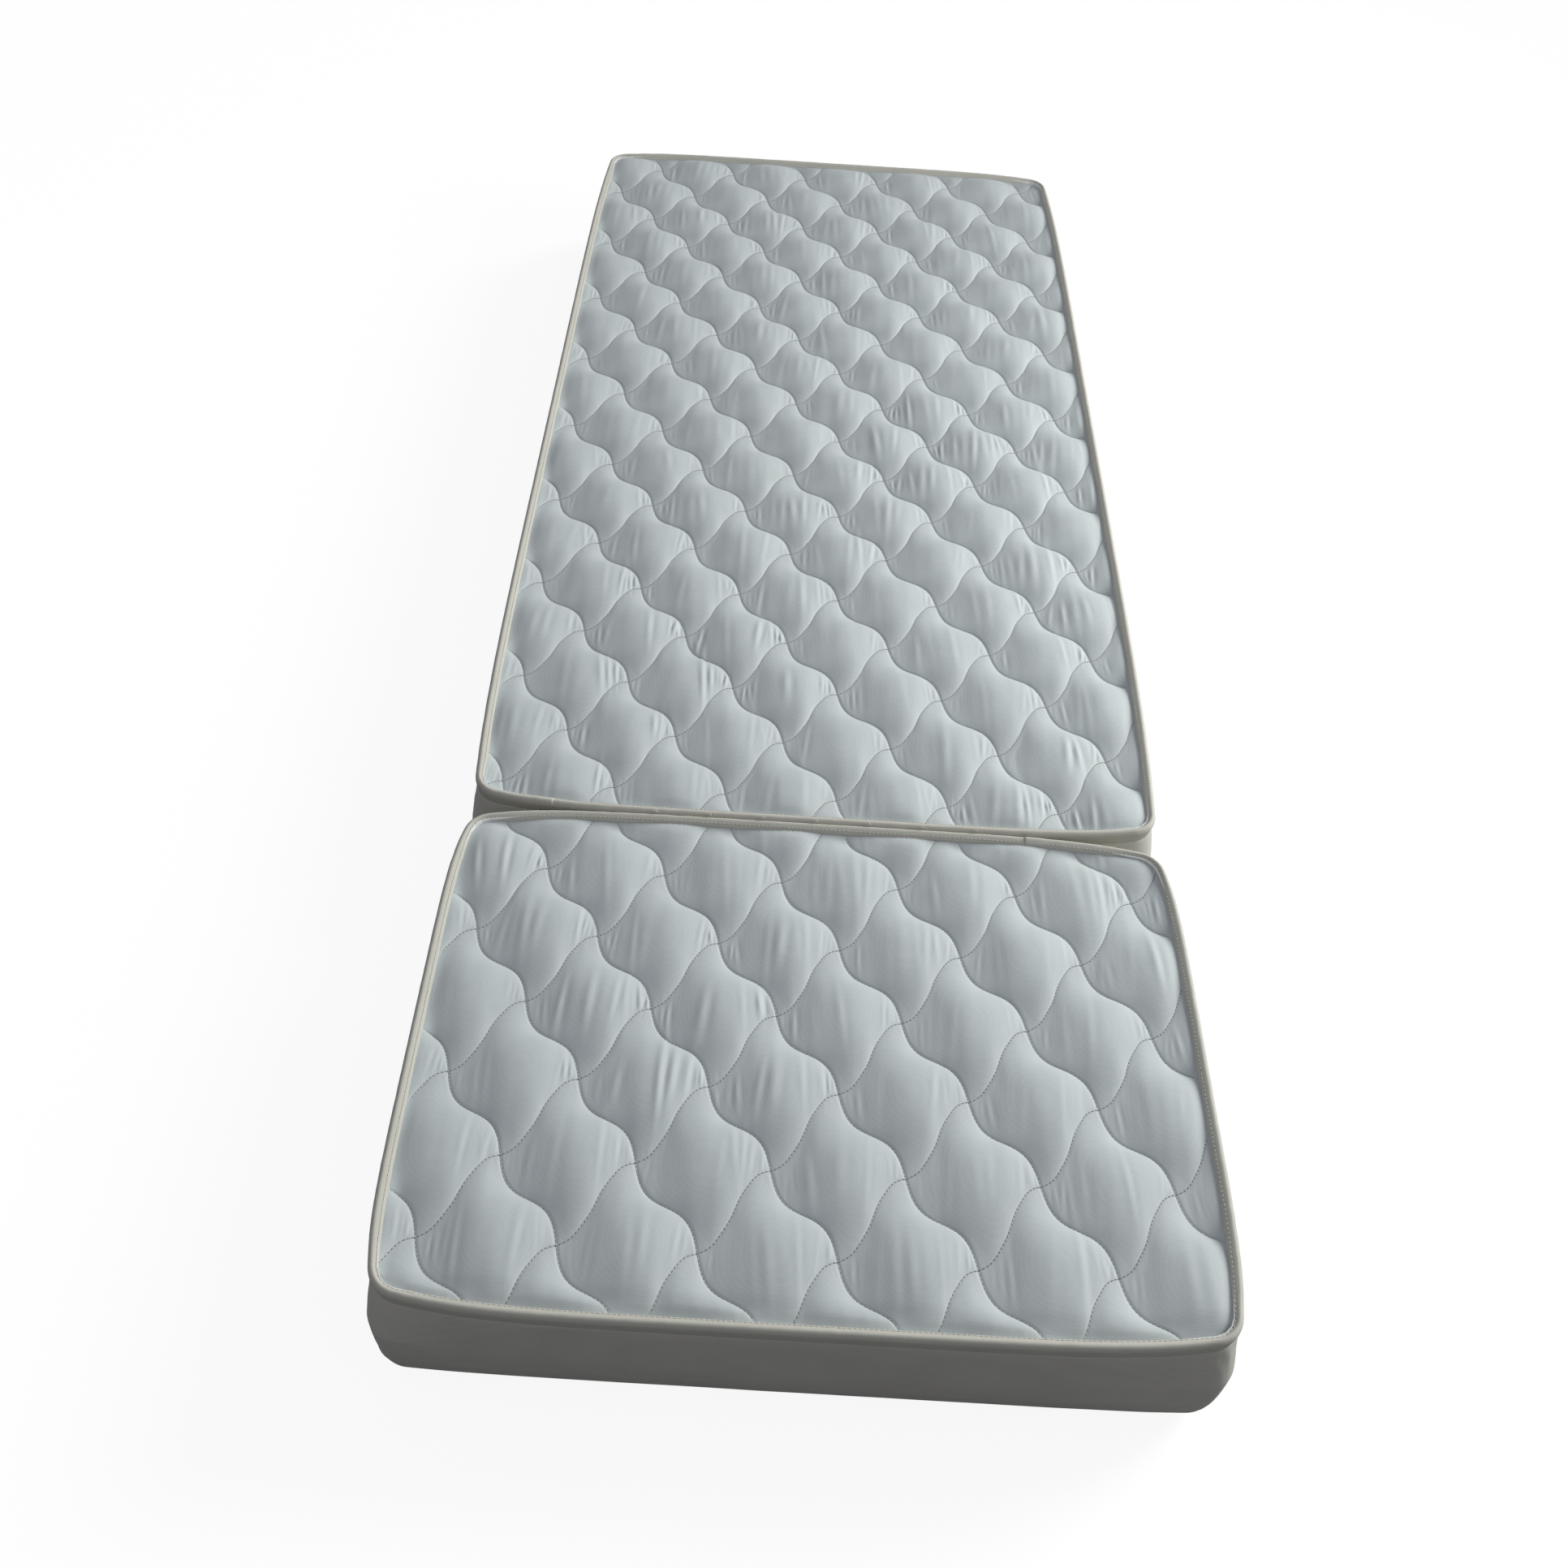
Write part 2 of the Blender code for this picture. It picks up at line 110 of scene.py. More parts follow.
daylight_data = bpy.data.lights.new("daylight", "SUN")
daylight_data.energy = DAYLIGHT_STRENGTH
daylight_data.angle = DAYLIGHT_DISC
daylight_data.color = DAYLIGHT_COLOUR
daylight = bpy.data.objects.new("daylight", daylight_data)
daylight.rotation_euler = DAYLIGHT_FROM.to_track_quat("Z", "Y").to_euler()
bpy.context.scene.collection.objects.link(daylight)
window_data = bpy.data.lights.new("window", "AREA")
window_data.shape = "SQUARE"
window_data.size = WINDOW_SIDE
window_data.energy = WINDOW_WATTS
window_data.color = DAYLIGHT_COLOUR
window = bpy.data.objects.new("window", window_data)
window.location = WINDOW_PLACE
window.rotation_euler = (WINDOW_PLACE - WINDOW_AIM).to_track_quat("Z", "Y").to_euler()
window.visible_camera = False
bpy.context.scene.collection.objects.link(window)

world = bpy.data.worlds.new("soft_sky")
bpy.context.scene.world = world
world.use_nodes = True
sky_nodes = world.node_tree.nodes
sky_links = world.node_tree.links
sky = sky_nodes["Background"]
sky.inputs["Strength"].default_value = SKY_STRENGTH
direction = sky_nodes.new("ShaderNodeTexCoord")
height = sky_nodes.new("ShaderNodeSeparateXYZ")
sky_links.new(direction.outputs["Generated"], height.inputs[0])
ramp = sky_nodes.new("ShaderNodeValToRGB")
sky_links.new(height.outputs["Z"], ramp.inputs[0])
ramp.color_ramp.elements[0].position = 0.0
ramp.color_ramp.elements[0].color = (0.40, 0.40, 0.425, 1)
ramp.color_ramp.elements[1].position = 0.9
ramp.color_ramp.elements[1].color = (0.86, 0.87, 0.93, 1)
sky_links.new(ramp.outputs[0], sky.inputs["Color"])
white = sky_nodes.new("ShaderNodeBackground")
white.inputs["Color"].default_value = (1, 1, 1, 1)
rays = sky_nodes.new("ShaderNodeLightPath")
seen = sky_nodes.new("ShaderNodeMath")
seen.operation = "MAXIMUM"
sky_links.new(rays.outputs["Is Camera Ray"], seen.inputs[0])
sky_links.new(rays.outputs["Is Glossy Ray"], seen.inputs[1])
choose = sky_nodes.new("ShaderNodeMixShader")
sky_links.new(seen.outputs[0], choose.inputs[0])
sky_links.new(sky.outputs[0], choose.inputs[1])
sky_links.new(white.outputs[0], choose.inputs[2])
sky_links.new(choose.outputs[0], sky_nodes["World Output"].inputs[0])
print("The window is", round((WINDOW_PLACE - WINDOW_AIM).length, 1), "m away")

# %% [markdown]
# ## Floor
# The floor is a plain pale sheet that catches a faint soft shadow. It glows towards the camera, so that it
# meets the white background without an edge, and it is dark to every other ray, so that it doesn't light the
# shaded border from below.

# %% Floor
FLOOR_SIDE = 60.0


def new_material(name):
    """A new node material, with its nodes and links."""
    material = bpy.data.materials.new(name)
    material.use_nodes = True
    return material, material.node_tree.nodes, material.node_tree.links


half = FLOOR_SIDE / 2
floor_mesh = bpy.data.meshes.new("floor")
corners = [(-half, -half, 0), (half, -half, 0), (half, half, 0), (-half, half, 0)]
floor_mesh.from_pydata(corners, [], [(0, 1, 2, 3)])
floor = bpy.data.objects.new("floor", floor_mesh)
floor.location.z = -0.0005
bpy.context.scene.collection.objects.link(floor)
floor_material, nodes, links = new_material("floor_paper")
pale = nodes["Principled BSDF"]
pale.inputs["Base Color"].default_value = (0.15, 0.15, 0.15, 1)
pale.inputs["Roughness"].default_value = 1.0
pale.inputs["Specular IOR Level"].default_value = 0
glow = nodes.new("ShaderNodeEmission")
glow.inputs["Strength"].default_value = 0.90
both = nodes.new("ShaderNodeAddShader")
links.new(pale.outputs[0], both.inputs[0])
links.new(glow.outputs[0], both.inputs[1])
dark = nodes.new("ShaderNodeBsdfDiffuse")
dark.inputs["Color"].default_value = (0.17, 0.17, 0.17, 1)
rays = nodes.new("ShaderNodeLightPath")
choose = nodes.new("ShaderNodeMixShader")
links.new(rays.outputs["Is Camera Ray"], choose.inputs[0])
links.new(dark.outputs[0], choose.inputs[1])
links.new(both.outputs[0], choose.inputs[2])
links.new(choose.outputs[0], nodes["Material Output"].inputs[0])
floor_mesh.materials.append(floor_material)
print("The floor is", FLOOR_SIDE, "m wide")

# %% [markdown]
# ## Cloth
# All the cloth here is woven cotton: matte, with a fine grid of threads that shows close up and a little
# unevenness that shows from afar. One recipe makes each: two crossed sets of fine waves for the threads, a
# cloudy noise for the unevenness, and a bump from the threads. Places come from the object's own coordinates,
# so the cloth looks the same from every side and needs no unwrapping.

# %% Cloth materials
WAVES_PER_METRE = 0.314


def cloth(name, colour, thread, roughness, unevenness=0.04, weave_depth=0.0001):
    """Woven cloth of a colour, with its threads that far apart in metres."""
    material, nodes, links = new_material(name)
    shader = nodes["Principled BSDF"]
    shader.inputs["Roughness"].default_value = roughness
    shader.inputs["Specular IOR Level"].default_value = 0.2
    shader.inputs["Sheen Weight"].default_value = 0.08
    shader.inputs["Sheen Roughness"].default_value = 0.5
    place = nodes.new("ShaderNodeTexCoord")
    waves = []
    for turn in ("X", "Y", "Z"):
        wave = nodes.new("ShaderNodeTexWave")
        wave.bands_direction = turn
        wave.inputs["Scale"].default_value = WAVES_PER_METRE / thread
        wave.inputs["Distortion"].default_value = 0.7
        wave.inputs["Detail"].default_value = 1
        links.new(place.outputs["Object"], wave.inputs["Vector"])
        waves.append(wave)
    crossed = nodes.new("ShaderNodeMath")
    crossed.operation = "MULTIPLY"
    links.new(waves[0].outputs["Fac"], crossed.inputs[0])
    links.new(waves[1].outputs["Fac"], crossed.inputs[1])
    weave = nodes.new("ShaderNodeMath")
    weave.operation = "MULTIPLY_ADD"
    links.new(waves[2].outputs["Fac"], weave.inputs[0])
    weave.inputs[1].default_value = 0.35
    links.new(crossed.outputs[0], weave.inputs[2])
    cloud = nodes.new("ShaderNodeTexNoise")
    cloud.inputs["Scale"].default_value = 16
    cloud.inputs["Detail"].default_value = 7
    cloud.inputs["Roughness"].default_value = 0.68
    links.new(place.outputs["Object"], cloud.inputs["Vector"])
    tone = nodes.new("ShaderNodeValToRGB")
    tone.color_ramp.elements[0].position = 0.3
    tone.color_ramp.elements[0].color = (*[c * (1 - unevenness) for c in colour], 1)
    tone.color_ramp.elements[1].position = 0.7
    tone.color_ramp.elements[1].color = (*[min(c * (1 + unevenness), 1) for c in colour], 1)
    links.new(cloud.outputs["Fac"], tone.inputs[0])
    threads = nodes.new("ShaderNodeMix")
    threads.data_type = "RGBA"
    threads.blend_type = "MULTIPLY"
    threads.inputs[7].default_value = (0.93, 0.93, 0.93, 1)
    links.new(weave.outputs[0], threads.inputs[0])
    links.new(tone.outputs[0], threads.inputs[6])
    links.new(threads.outputs[2], shader.inputs["Base Color"])
    bump = nodes.new("ShaderNodeBump")
    bump.inputs["Strength"].default_value = 0.5
    bump.inputs["Distance"].default_value = weave_depth
    links.new(weave.outputs[0], bump.inputs["Height"])
    links.new(bump.outputs[0], shader.inputs["Normal"])
    return material


quilted_cotton = cloth("quilted_cotton", (0.505, 0.548, 0.556), 0.0009, 0.85)
border_cotton = cloth("border_cotton", (0.535, 0.525, 0.478), 0.0011, 0.85)
tape_cotton = cloth("tape_cotton", (0.520, 0.512, 0.458), 0.0008, 0.75)
print("Cloth:", quilted_cotton.name, border_cotton.name, tape_cotton.name)

# %% [markdown]
# Thread is twisted yarn, a little shinier than the cloth. The needle leaves a hole at each end of a stitch,
# and the shade inside it is painted as a small dark cap. From afar the row of dark holes shows more than the
# thread does.

# %% Thread materials
def yarn(name, colour, roughness):
    """Sewing thread with the slant of its twist."""
    material, nodes, links = new_material(name)
    shader = nodes["Principled BSDF"]
    shader.inputs["Base Color"].default_value = (*colour, 1)
    shader.inputs["Roughness"].default_value = roughness
    shader.inputs["Specular IOR Level"].default_value = 0.3
    twist = nodes.new("ShaderNodeTexWave")
    twist.bands_direction = "DIAGONAL"
    twist.inputs["Scale"].default_value = 900
    place = nodes.new("ShaderNodeTexCoord")
    links.new(place.outputs["Object"], twist.inputs["Vector"])
    bump = nodes.new("ShaderNodeBump")
    bump.inputs["Distance"].default_value = 0.00005
    links.new(twist.outputs["Fac"], bump.inputs["Height"])
    links.new(bump.outputs[0], shader.inputs["Normal"])
    return material


quilting_yarn = yarn("quilting_yarn", (0.50, 0.51, 0.50), 0.6)
seam_yarn = yarn("seam_yarn", (0.58, 0.57, 0.51), 0.6)
# Painted shade: this near-black colour stands for the shade inside the needle holes.
needle_hole = yarn("needle_hole", (0.17, 0.175, 0.185), 1.0)
print("Thread:", quilting_yarn.name, seam_yarn.name, needle_hole.name)

# %% [markdown]
# ## Plan shape
# Every taped edge bows out to its middle and draws back towards its corners, because the tape is sewn on
# under pull. The body below it is held out by the foam, so its corners are fuller. One function gives the
# loop for any inset and height. It always has the same number of places, so that loops can be joined row by
# row.

# %% Edge loops
WIDTH = 0.600
THICKNESS = 0.120
CORNER_RADIUS = 0.025
TIGHTEST_CORNER = 0.003
END_FALL = 0.010
SIDE_FALL = 0.007
BOW_POWER = 6
BODY_FULLNESS_SHARE = 0.8
LEG_BOTTOM = 0.106
FULL_BODY_HEIGHT = 0.066
CORNER_PLACES = 14
SECTIONS = {
    "long": {
        "length": 1.200, "centre": 0.22515, "column": 0.0297, "row": 0.0374,
        "lap": -0.236, "facing": -1, "front_share": 0.70, "front_seam": 0.1116,
    },
    "short": {
        "length": 0.450, "centre": -0.60015, "column": 0.0331, "row": 0.0610,
        "lap": 0.188, "facing": 1, "front_share": 0.10, "front_seam": 0.1090,
    },
}


def bowed(fall, reach, share):
    """How far a bowed edge has drawn back at shares of its reach, and its slope there."""
    return fall * share**BOW_POWER, fall * BOW_POWER / reach * share ** (BOW_POWER - 1)


def edge_loop(section, spacing, inset=0.0, height=THICKNESS, corner=CORNER_RADIUS):
    """Places and outward directions round a section, counter-clockwise from the middle of its right side."""
    half_width, half_length = WIDTH / 2, section["length"] / 2
    fullness = min(max((LEG_BOTTOM - height) / (LEG_BOTTOM - FULL_BODY_HEIGHT), 0), 1) * BODY_FULLNESS_SHARE
    end_fall, side_fall = END_FALL * (1 - fullness), SIDE_FALL * (1 - fullness)
    radius = max(corner, inset + TIGHTEST_CORNER)
    start = math.atan(end_fall * BOW_POWER / (half_width - radius))
    stop = math.pi / 2 - math.atan(side_fall * BOW_POWER / (half_length - radius))
    centre_x = half_width - side_fall - radius * math.sin(stop)
    centre_y = half_length - end_fall - radius * math.cos(start)
    reach_x = centre_x + radius * math.sin(start)
    reach_y = centre_y + radius * math.cos(stop)
    out = np.linspace(0, 1, round(half_width / spacing))
    back, slope = bowed(end_fall, reach_x, out)
    places = [np.stack([out * reach_x, half_length - back], 1)]
    ways = [np.stack([slope, np.ones_like(out)], 1)]
    angle = np.linspace(start, stop, CORNER_PLACES + 2)[1:-1]
    ways.append(np.stack([np.sin(angle), np.cos(angle)], 1))
    places.append(np.array((centre_x, centre_y)) + radius * ways[-1])
    home = np.linspace(1, 0, round(half_length / spacing))
    back, slope = bowed(side_fall, reach_y, home)
    places.append(np.stack([half_width - back, home * reach_y], 1))
    ways.append(np.stack([np.ones_like(home), slope], 1))
    places, ways = np.concatenate(places), np.concatenate(ways)
    ways /= np.linalg.norm(ways, axis=1)[:, None]
    places = places - inset * ways
    loops = []
    for quarter in (places, ways):
        loops.append(np.concatenate([
            quarter[::-1],
            (quarter * (-1, 1))[1:],
            (quarter[::-1] * (-1, -1))[1:],
            (quarter * (1, -1))[1:-1],
        ]))
    return loops


for name, section in SECTIONS.items():
    loop, ways = edge_loop(section, 0.004)
    around = float(np.linalg.norm(np.roll(loop, -1, axis=0) - loop, axis=1).sum())
    print("The taped edge of the", name, "section is", round(around, 2), "m round")

# %% [markdown]
# ## Helpers
# A piece is a closed mesh with materials that rides on its section. Sewn strips are grids of places, and
# small things that repeat, such as stitches, are one template set down many times.

# %% Mesh helpers
def make_piece(name, places, faces, materials, body, face_materials=None):
    """A smooth mesh piece, placed in metres, that rides on a body."""
    mesh = bpy.data.meshes.new(name)
    mesh.from_pydata([tuple(p) for p in places], [], [tuple(int(i) for i in f) for f in faces])
    for material in materials:
        mesh.materials.append(material)
    if face_materials is not None:
        mesh.polygons.foreach_set("material_index", [int(i) for i in face_materials])
    bm = bmesh.new()
    bm.from_mesh(mesh)
    bmesh.ops.recalc_face_normals(bm, faces=bm.faces)
    bm.to_mesh(mesh)
    bm.free()
    mesh.shade_smooth()
    piece = bpy.data.objects.new(name, mesh)
    bpy.context.scene.collection.objects.link(piece)
    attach(piece, body)
    return piece


def grid_faces(rows, columns, closed_rows=False, closed_columns=False):
    """Four-sided faces over a grid of places kept row after row."""
    row = np.arange(rows if closed_rows else rows - 1)
    column = np.arange(columns if closed_columns else columns - 1)
    r, c = [a.ravel() for a in np.meshgrid(row, column, indexing="ij")]
    r_next, c_next = (r + 1) % rows, (c + 1) % columns
    around = (r, c), (r_next, c), (r_next, c_next), (r, c_next)
    return np.stack([row * columns + column for row, column in around], 1)


def set_down(template, middles, ahead, up):
    """Copies of a template of places, faces and materials at each middle, turned to its two directions."""
    places, faces, kinds = template
    beside = np.cross(ahead, up)
    spots = (
        middles[:, None, :]
        + places[None, :, 0, None] * ahead[:, None, :]
        + places[None, :, 1, None] * beside[:, None, :]
        + places[None, :, 2, None] * up[:, None, :]
    )
    firsts = range(0, len(middles) * len(places), len(places))
    all_faces = [tuple(i + first for i in face) for first in firsts for face in faces]
    return spots.reshape(-1, 3), all_faces, kinds * len(middles)


def smooth_noise(x, y, z):
    """Smooth noise from -1 to 1 at each place."""
    x, y, z = np.broadcast_arrays(x, y, z)
    flat = [noise.noise(place) for place in zip(x.ravel(), y.ravel(), z.ravel())]
    return np.array(flat).reshape(x.shape)


def smooth_step(value, low, high):
    """A soft ramp from 0 at low to 1 at high."""
    share = np.clip((value - low) / (high - low), 0, 1)
    return share * share * (3 - 2 * share)


print("Helpers ready")

# %% [markdown]
# ## Quilted tops
# The top cloth is quilted to its wadding by two families of waves that cross at stitched points. Counting
# cells along each family gives two numbers for any place on the cloth, and whole numbers are stitch lines.
# A grid laid on these numbers has its edges exactly on the stitch lines, so the channels are crisp. More of
# its lines crowd near the channels, where the cloth turns fastest.

# %% Quilting lines
QUILT_COLUMN = 0.0961
QUILT_ROW = 0.0664
ALONG_WAVE_SHARE = 0.52
ACROSS_WAVE_SHARE = 0.38
CROSSING_EASE = 0.10
CELL_STEPS = 48
CROWDING = 0.5


def quilt_place(section, along, across):
    """Plan place on the quilting, from the count of cells along each family of waves."""
    along_wave = ALONG_WAVE_SHARE * np.sin(2 * np.pi * along) / (2 * np.pi)
    across_wave = ACROSS_WAVE_SHARE * np.sin(2 * np.pi * across) / (2 * np.pi)
    across_wave = across_wave + CROSSING_EASE * np.sin(4 * np.pi * across) / (4 * np.pi)
    across_wave = across_wave + CROSSING_EASE * np.sin(6 * np.pi * across) / (6 * np.pi)
    half_columns = 1 + along - across - along_wave - across_wave
    rows = along + across + along_wave - across_wave
    x = section["column"] + half_columns * QUILT_COLUMN / 2 - WIDTH / 2
    y = section["length"] / 2 - section["row"] - rows * QUILT_ROW
    return x, y


def cell_counts(section):
    """Lowest and highest whole counts, along and across, that cover the section."""
    first_row = -section["row"] / QUILT_ROW - 1
    last_row = (section["length"] - section["row"]) / QUILT_ROW + 1
    first_half = -section["column"] / (QUILT_COLUMN / 2) - 1
    last_half = (WIDTH - section["column"]) / (QUILT_COLUMN / 2) + 1
    along = ((first_row + first_half - 1) / 2, (last_row + last_half - 1) / 2)
    across = ((first_row - last_half + 1) / 2, (last_row - first_half + 1) / 2)
    return [(math.floor(low), math.ceil(high)) for low, high in (along, across)]


def crowded_steps(low, high):
    """Counts from low to high that crowd near the whole numbers."""
    even = np.arange((high - low) * CELL_STEPS + 1) / CELL_STEPS + low
    return even - CROWDING * np.sin(2 * np.pi * even) / (2 * np.pi)


print("The quilting repeats every", QUILT_COLUMN, "by", 2 * QUILT_ROW, "m")

# %% [markdown]
# The cloth stands up in a puff over each cell. Its height is the product of two arches, whose crests are
# off the middle: the cloth rises gently from one stitch line and drops more steeply to the next. The lines
# of one family are pulled down deep, and the lines of the other ride up between two crossings, so they show
# less. A low ridge runs from head to foot over each puff, where the cloth is pulled tight. Towards the tape
# the puffs fall, most of all at the short section's free end, and the seam holds crests and channels at
# nearly one height. No two puffs are filled alike.

# %% Puffs
PANEL_INSET = 0.0086
PANEL_CORNER = 0.013
TUCK_UNDER = 0.003
CHANNEL_HEIGHT = 0.1093
PUFF_HEIGHT = 0.0098
SHALLOW_LINE_SHARE = 0.34
ALONG_CREST_POWER = 1.3
ACROSS_CREST_POWER = 0.85
ALONG_FULLNESS_POWER = 0.8
ACROSS_FULLNESS_POWER = 0.92
RIDGE_SLOPE = 0.055
RIDGE_ROUNDING = 0.005
FILLING_SPREAD_SHARE = 0.06
EDGE_ROLL = 0.020
SIDE_ROLL_POWER = 2.2
END_ROLL_POWER = 1.7
SIDE_EDGE_SHARE = 0.88
BACK_EDGE_SHARE = 0.85
SEAM_HEIGHT = 0.1142
SEAM_REACH = 0.010
SEAM_HOLD_SHARE = 0.75
SEAM_POWER = 1.6
CLOTH_UNDERSIDE = 0.1081
LEAST_CLOTH = 0.0002
HIGHEST_CLOTH = 0.1201


def from_seams(section, x, y):
    """How far a place lies inside the nearer side's seam, and inside the nearer end's."""
    half_width, half_length = WIDTH / 2 - PANEL_INSET, section["length"] / 2 - PANEL_INSET
    end_back = END_FALL * np.clip(abs(x) / half_width, 0, 1.05) ** BOW_POWER
    side_back = SIDE_FALL * np.clip(abs(y) / half_length, 0, 1.05) ** BOW_POWER
    from_side = half_width - side_back - abs(x)
    from_end = half_length - end_back - abs(y)
    return from_side, from_end


def inside_panel(section, x, y):
    """How far a place lies inside the seam between the top and the tape."""
    from_side, from_end = from_seams(section, x, y)
    corner_x = np.maximum(PANEL_CORNER - from_side, 0)
    corner_y = np.maximum(PANEL_CORNER - from_end, 0)
    rounded = PANEL_CORNER - np.hypot(corner_x, corner_y)
    return np.where((corner_x > 0) & (corner_y > 0), rounded, np.minimum(from_side, from_end))


def arch_over(count, crest_power):
    """An arch over each cell, from 0 at whole counts to 1 at its crest."""
    share = count - np.floor(count)
    return np.clip(np.sin(np.pi * share**crest_power), 0, 1)


def edge_roll(section, x, y):
    """Share of the full height, which falls towards the tape."""
    side_near, end_near = [1 - np.clip(away / EDGE_ROLL, 0, 1) for away in from_seams(section, x, y)]
    side_share = 1 - (1 - SIDE_EDGE_SHARE) * side_near**SIDE_ROLL_POWER
    end_share = np.where(y < 0, section["front_share"], BACK_EDGE_SHARE)
    return side_share * (1 - (1 - end_share) * end_near**END_ROLL_POWER)


def held_by_seam(section, x, y, z):
    """Heights drawn towards the seam's own height close to the tape."""
    near = np.clip(1 - inside_panel(section, x, y) / SEAM_REACH, 0, 1) ** SEAM_POWER * SEAM_HOLD_SHARE
    _, from_end = from_seams(section, x, y)
    front = (y < 0) * (1 - smooth_step(from_end, SEAM_REACH / 2, SEAM_REACH))
    seam = SEAM_HEIGHT + (section["front_seam"] - SEAM_HEIGHT) * front
    return z + near * (seam - z)


def line_lift(section, across, x, y):
    """How far the shallow stitch lines ride up over the deep ones."""
    across_dome = arch_over(across, ACROSS_CREST_POWER) ** ACROSS_FULLNESS_POWER
    return SHALLOW_LINE_SHARE * PUFF_HEIGHT * across_dome * edge_roll(section, x, y)


def puffs(section, along, across, x, y):
    """Height of the stuffed cells over the deep lines, and how near each place is to a crest."""
    along_arch, across_arch = arch_over(along, ALONG_CREST_POWER), arch_over(across, ACROSS_CREST_POWER)
    arch = along_arch * across_arch
    dome = along_arch**ALONG_FULLNESS_POWER * across_arch**ACROSS_FULLNESS_POWER * (1 - SHALLOW_LINE_SHARE)
    top_x, _ = quilt_place(section, np.floor(along), np.floor(across))
    bottom_x, _ = quilt_place(section, np.floor(along) + 1, np.floor(across) + 1)
    from_ridge = np.hypot(x - (top_x + bottom_x) / 2, RIDGE_ROUNDING) - RIDGE_ROUNDING
    chance = np.sin(np.floor(along) * 12.99 + np.floor(across) * 78.23 + section["length"]) * 43.7
    filling = 1 + FILLING_SPREAD_SHARE * np.sin(chance)
    above_lines = (PUFF_HEIGHT * filling * dome - RIDGE_SLOPE * from_ridge * arch) * edge_roll(section, x, y)
    return line_lift(section, across, x, y) + above_lines, arch


print("Puffs stand up to", PUFF_HEIGHT * 1000, "mm over the deep lines")

# %% [markdown]
# The quilting machine pulls the cloth in across its feed, so spare cloth gathers in folds that run from
# head to foot. They are short, sharp and close together beside the stitched crossings, and longer, softer
# and fewer over the middle of a cell. They fade towards the head end. Each one is a smooth ridge with a
# dent beside it. Long shallow waves run through them all.

# %% Folds and waves
# Where folds may stand in a cell, as shares of the way from its left crossing to its right one
FOLD_SHARES = (0.04, 0.09, 0.15, 0.22, 0.30, 0.40, 0.50, 0.61, 0.70, 0.78, 0.84, 0.89, 0.93, 0.965)
FOLD_CHANCE = 0.85
MIDDLE_CHANCE = 0.42
MIDDLE_ROOM = 0.2
SHARPEST_FOLD = 0.0008
LOWEST_FOLD = 0.00028
FOLD_SPREAD = 0.00105
DENT_SHARE = 0.8
HEAD_FADE_SHARE = 0.4
FINE_WAVE = 0.00028
BROAD_WAVE = 0.00055


def folds(section, x, y):
    """Ridges and dents that run from head to foot."""
    rng = np.random.default_rng(11 if section["length"] > 1 else 5)
    (along_low, along_high), (across_low, across_high) = cell_counts(section)
    lift = np.zeros_like(x)
    for along in range(along_low, along_high):
        for across in range(across_low, across_high):
            chances = rng.random((len(FOLD_SHARES), 6))
            for share, (there, shift, high, long, wide, lean) in zip(FOLD_SHARES, chances):
                share = share + 0.03 * (shift - 0.5)
                fold_x, fold_y = quilt_place(section, along + share, across + 1 - share)
                room = min(share, 1 - share)
                chance = FOLD_CHANCE if room < MIDDLE_ROOM else MIDDLE_CHANCE
                if there > chance or inside_panel(section, fold_x, fold_y) < -0.01:
                    continue
                half_wide = (SHARPEST_FOLD + 0.0032 * room) * (0.75 + 0.5 * wide)
                half_long = min(0.0030 + 0.046 * room, 0.017) * (0.7 + 0.6 * long)
                height = (LOWEST_FOLD + FOLD_SPREAD * high**1.5) * (1.25 if share > 0.5 else 0.85)
                near = np.flatnonzero((abs(y - fold_y) < 2.6 * half_long) & (abs(x - fold_x) < 5 * half_wide))
                up = (y[near] - fold_y) / half_long
                right = (x[near] - fold_x - 0.25 * (lean - 0.5) * (y[near] - fold_y)) / half_wide
                ridge = np.exp(-(right**2) / 2) - DENT_SHARE * np.exp(-((right - 2.0) ** 2) / 2)
                lift[near] += height * ridge * np.exp(-(up**2) / 2)
    shift = section["centre"]
    region = 0.40 + 0.85 * smooth_step(smooth_noise(x / 0.17, (y + shift) / 0.2, 3.7), -0.3, 0.4)
    return lift * region * (1 - HEAD_FADE_SHARE * smooth_step(y + shift, 0.0, 0.7))


def long_waves(section, x, y):
    """Long shallow waves from head to foot."""
    shift = section["centre"]
    fine = smooth_noise(x / 0.011, (y + shift) / 0.060, 1.3)
    broad = smooth_noise(x / 0.024, (y + shift) / 0.13, 8.1)
    return FINE_WAVE * fine + BROAD_WAVE * broad


print("Each cell has room for", len(FOLD_SHARES), "folds")

# %% [markdown]
# The top is one sheet of faces over the grid, with a fine crease at every stitch line. The sheet's rim is
# moved onto a line just under the tape, and a short wall and a flat underside close it, so that it is a solid
# that can be exported or printed.

# %% Quilted top covers
CREASE_DEPTH = 0.0006
ACROSS_CREASE = 0.009
ALONG_CREASE = 0.008
CREST_SOFTNESS = 0.0008


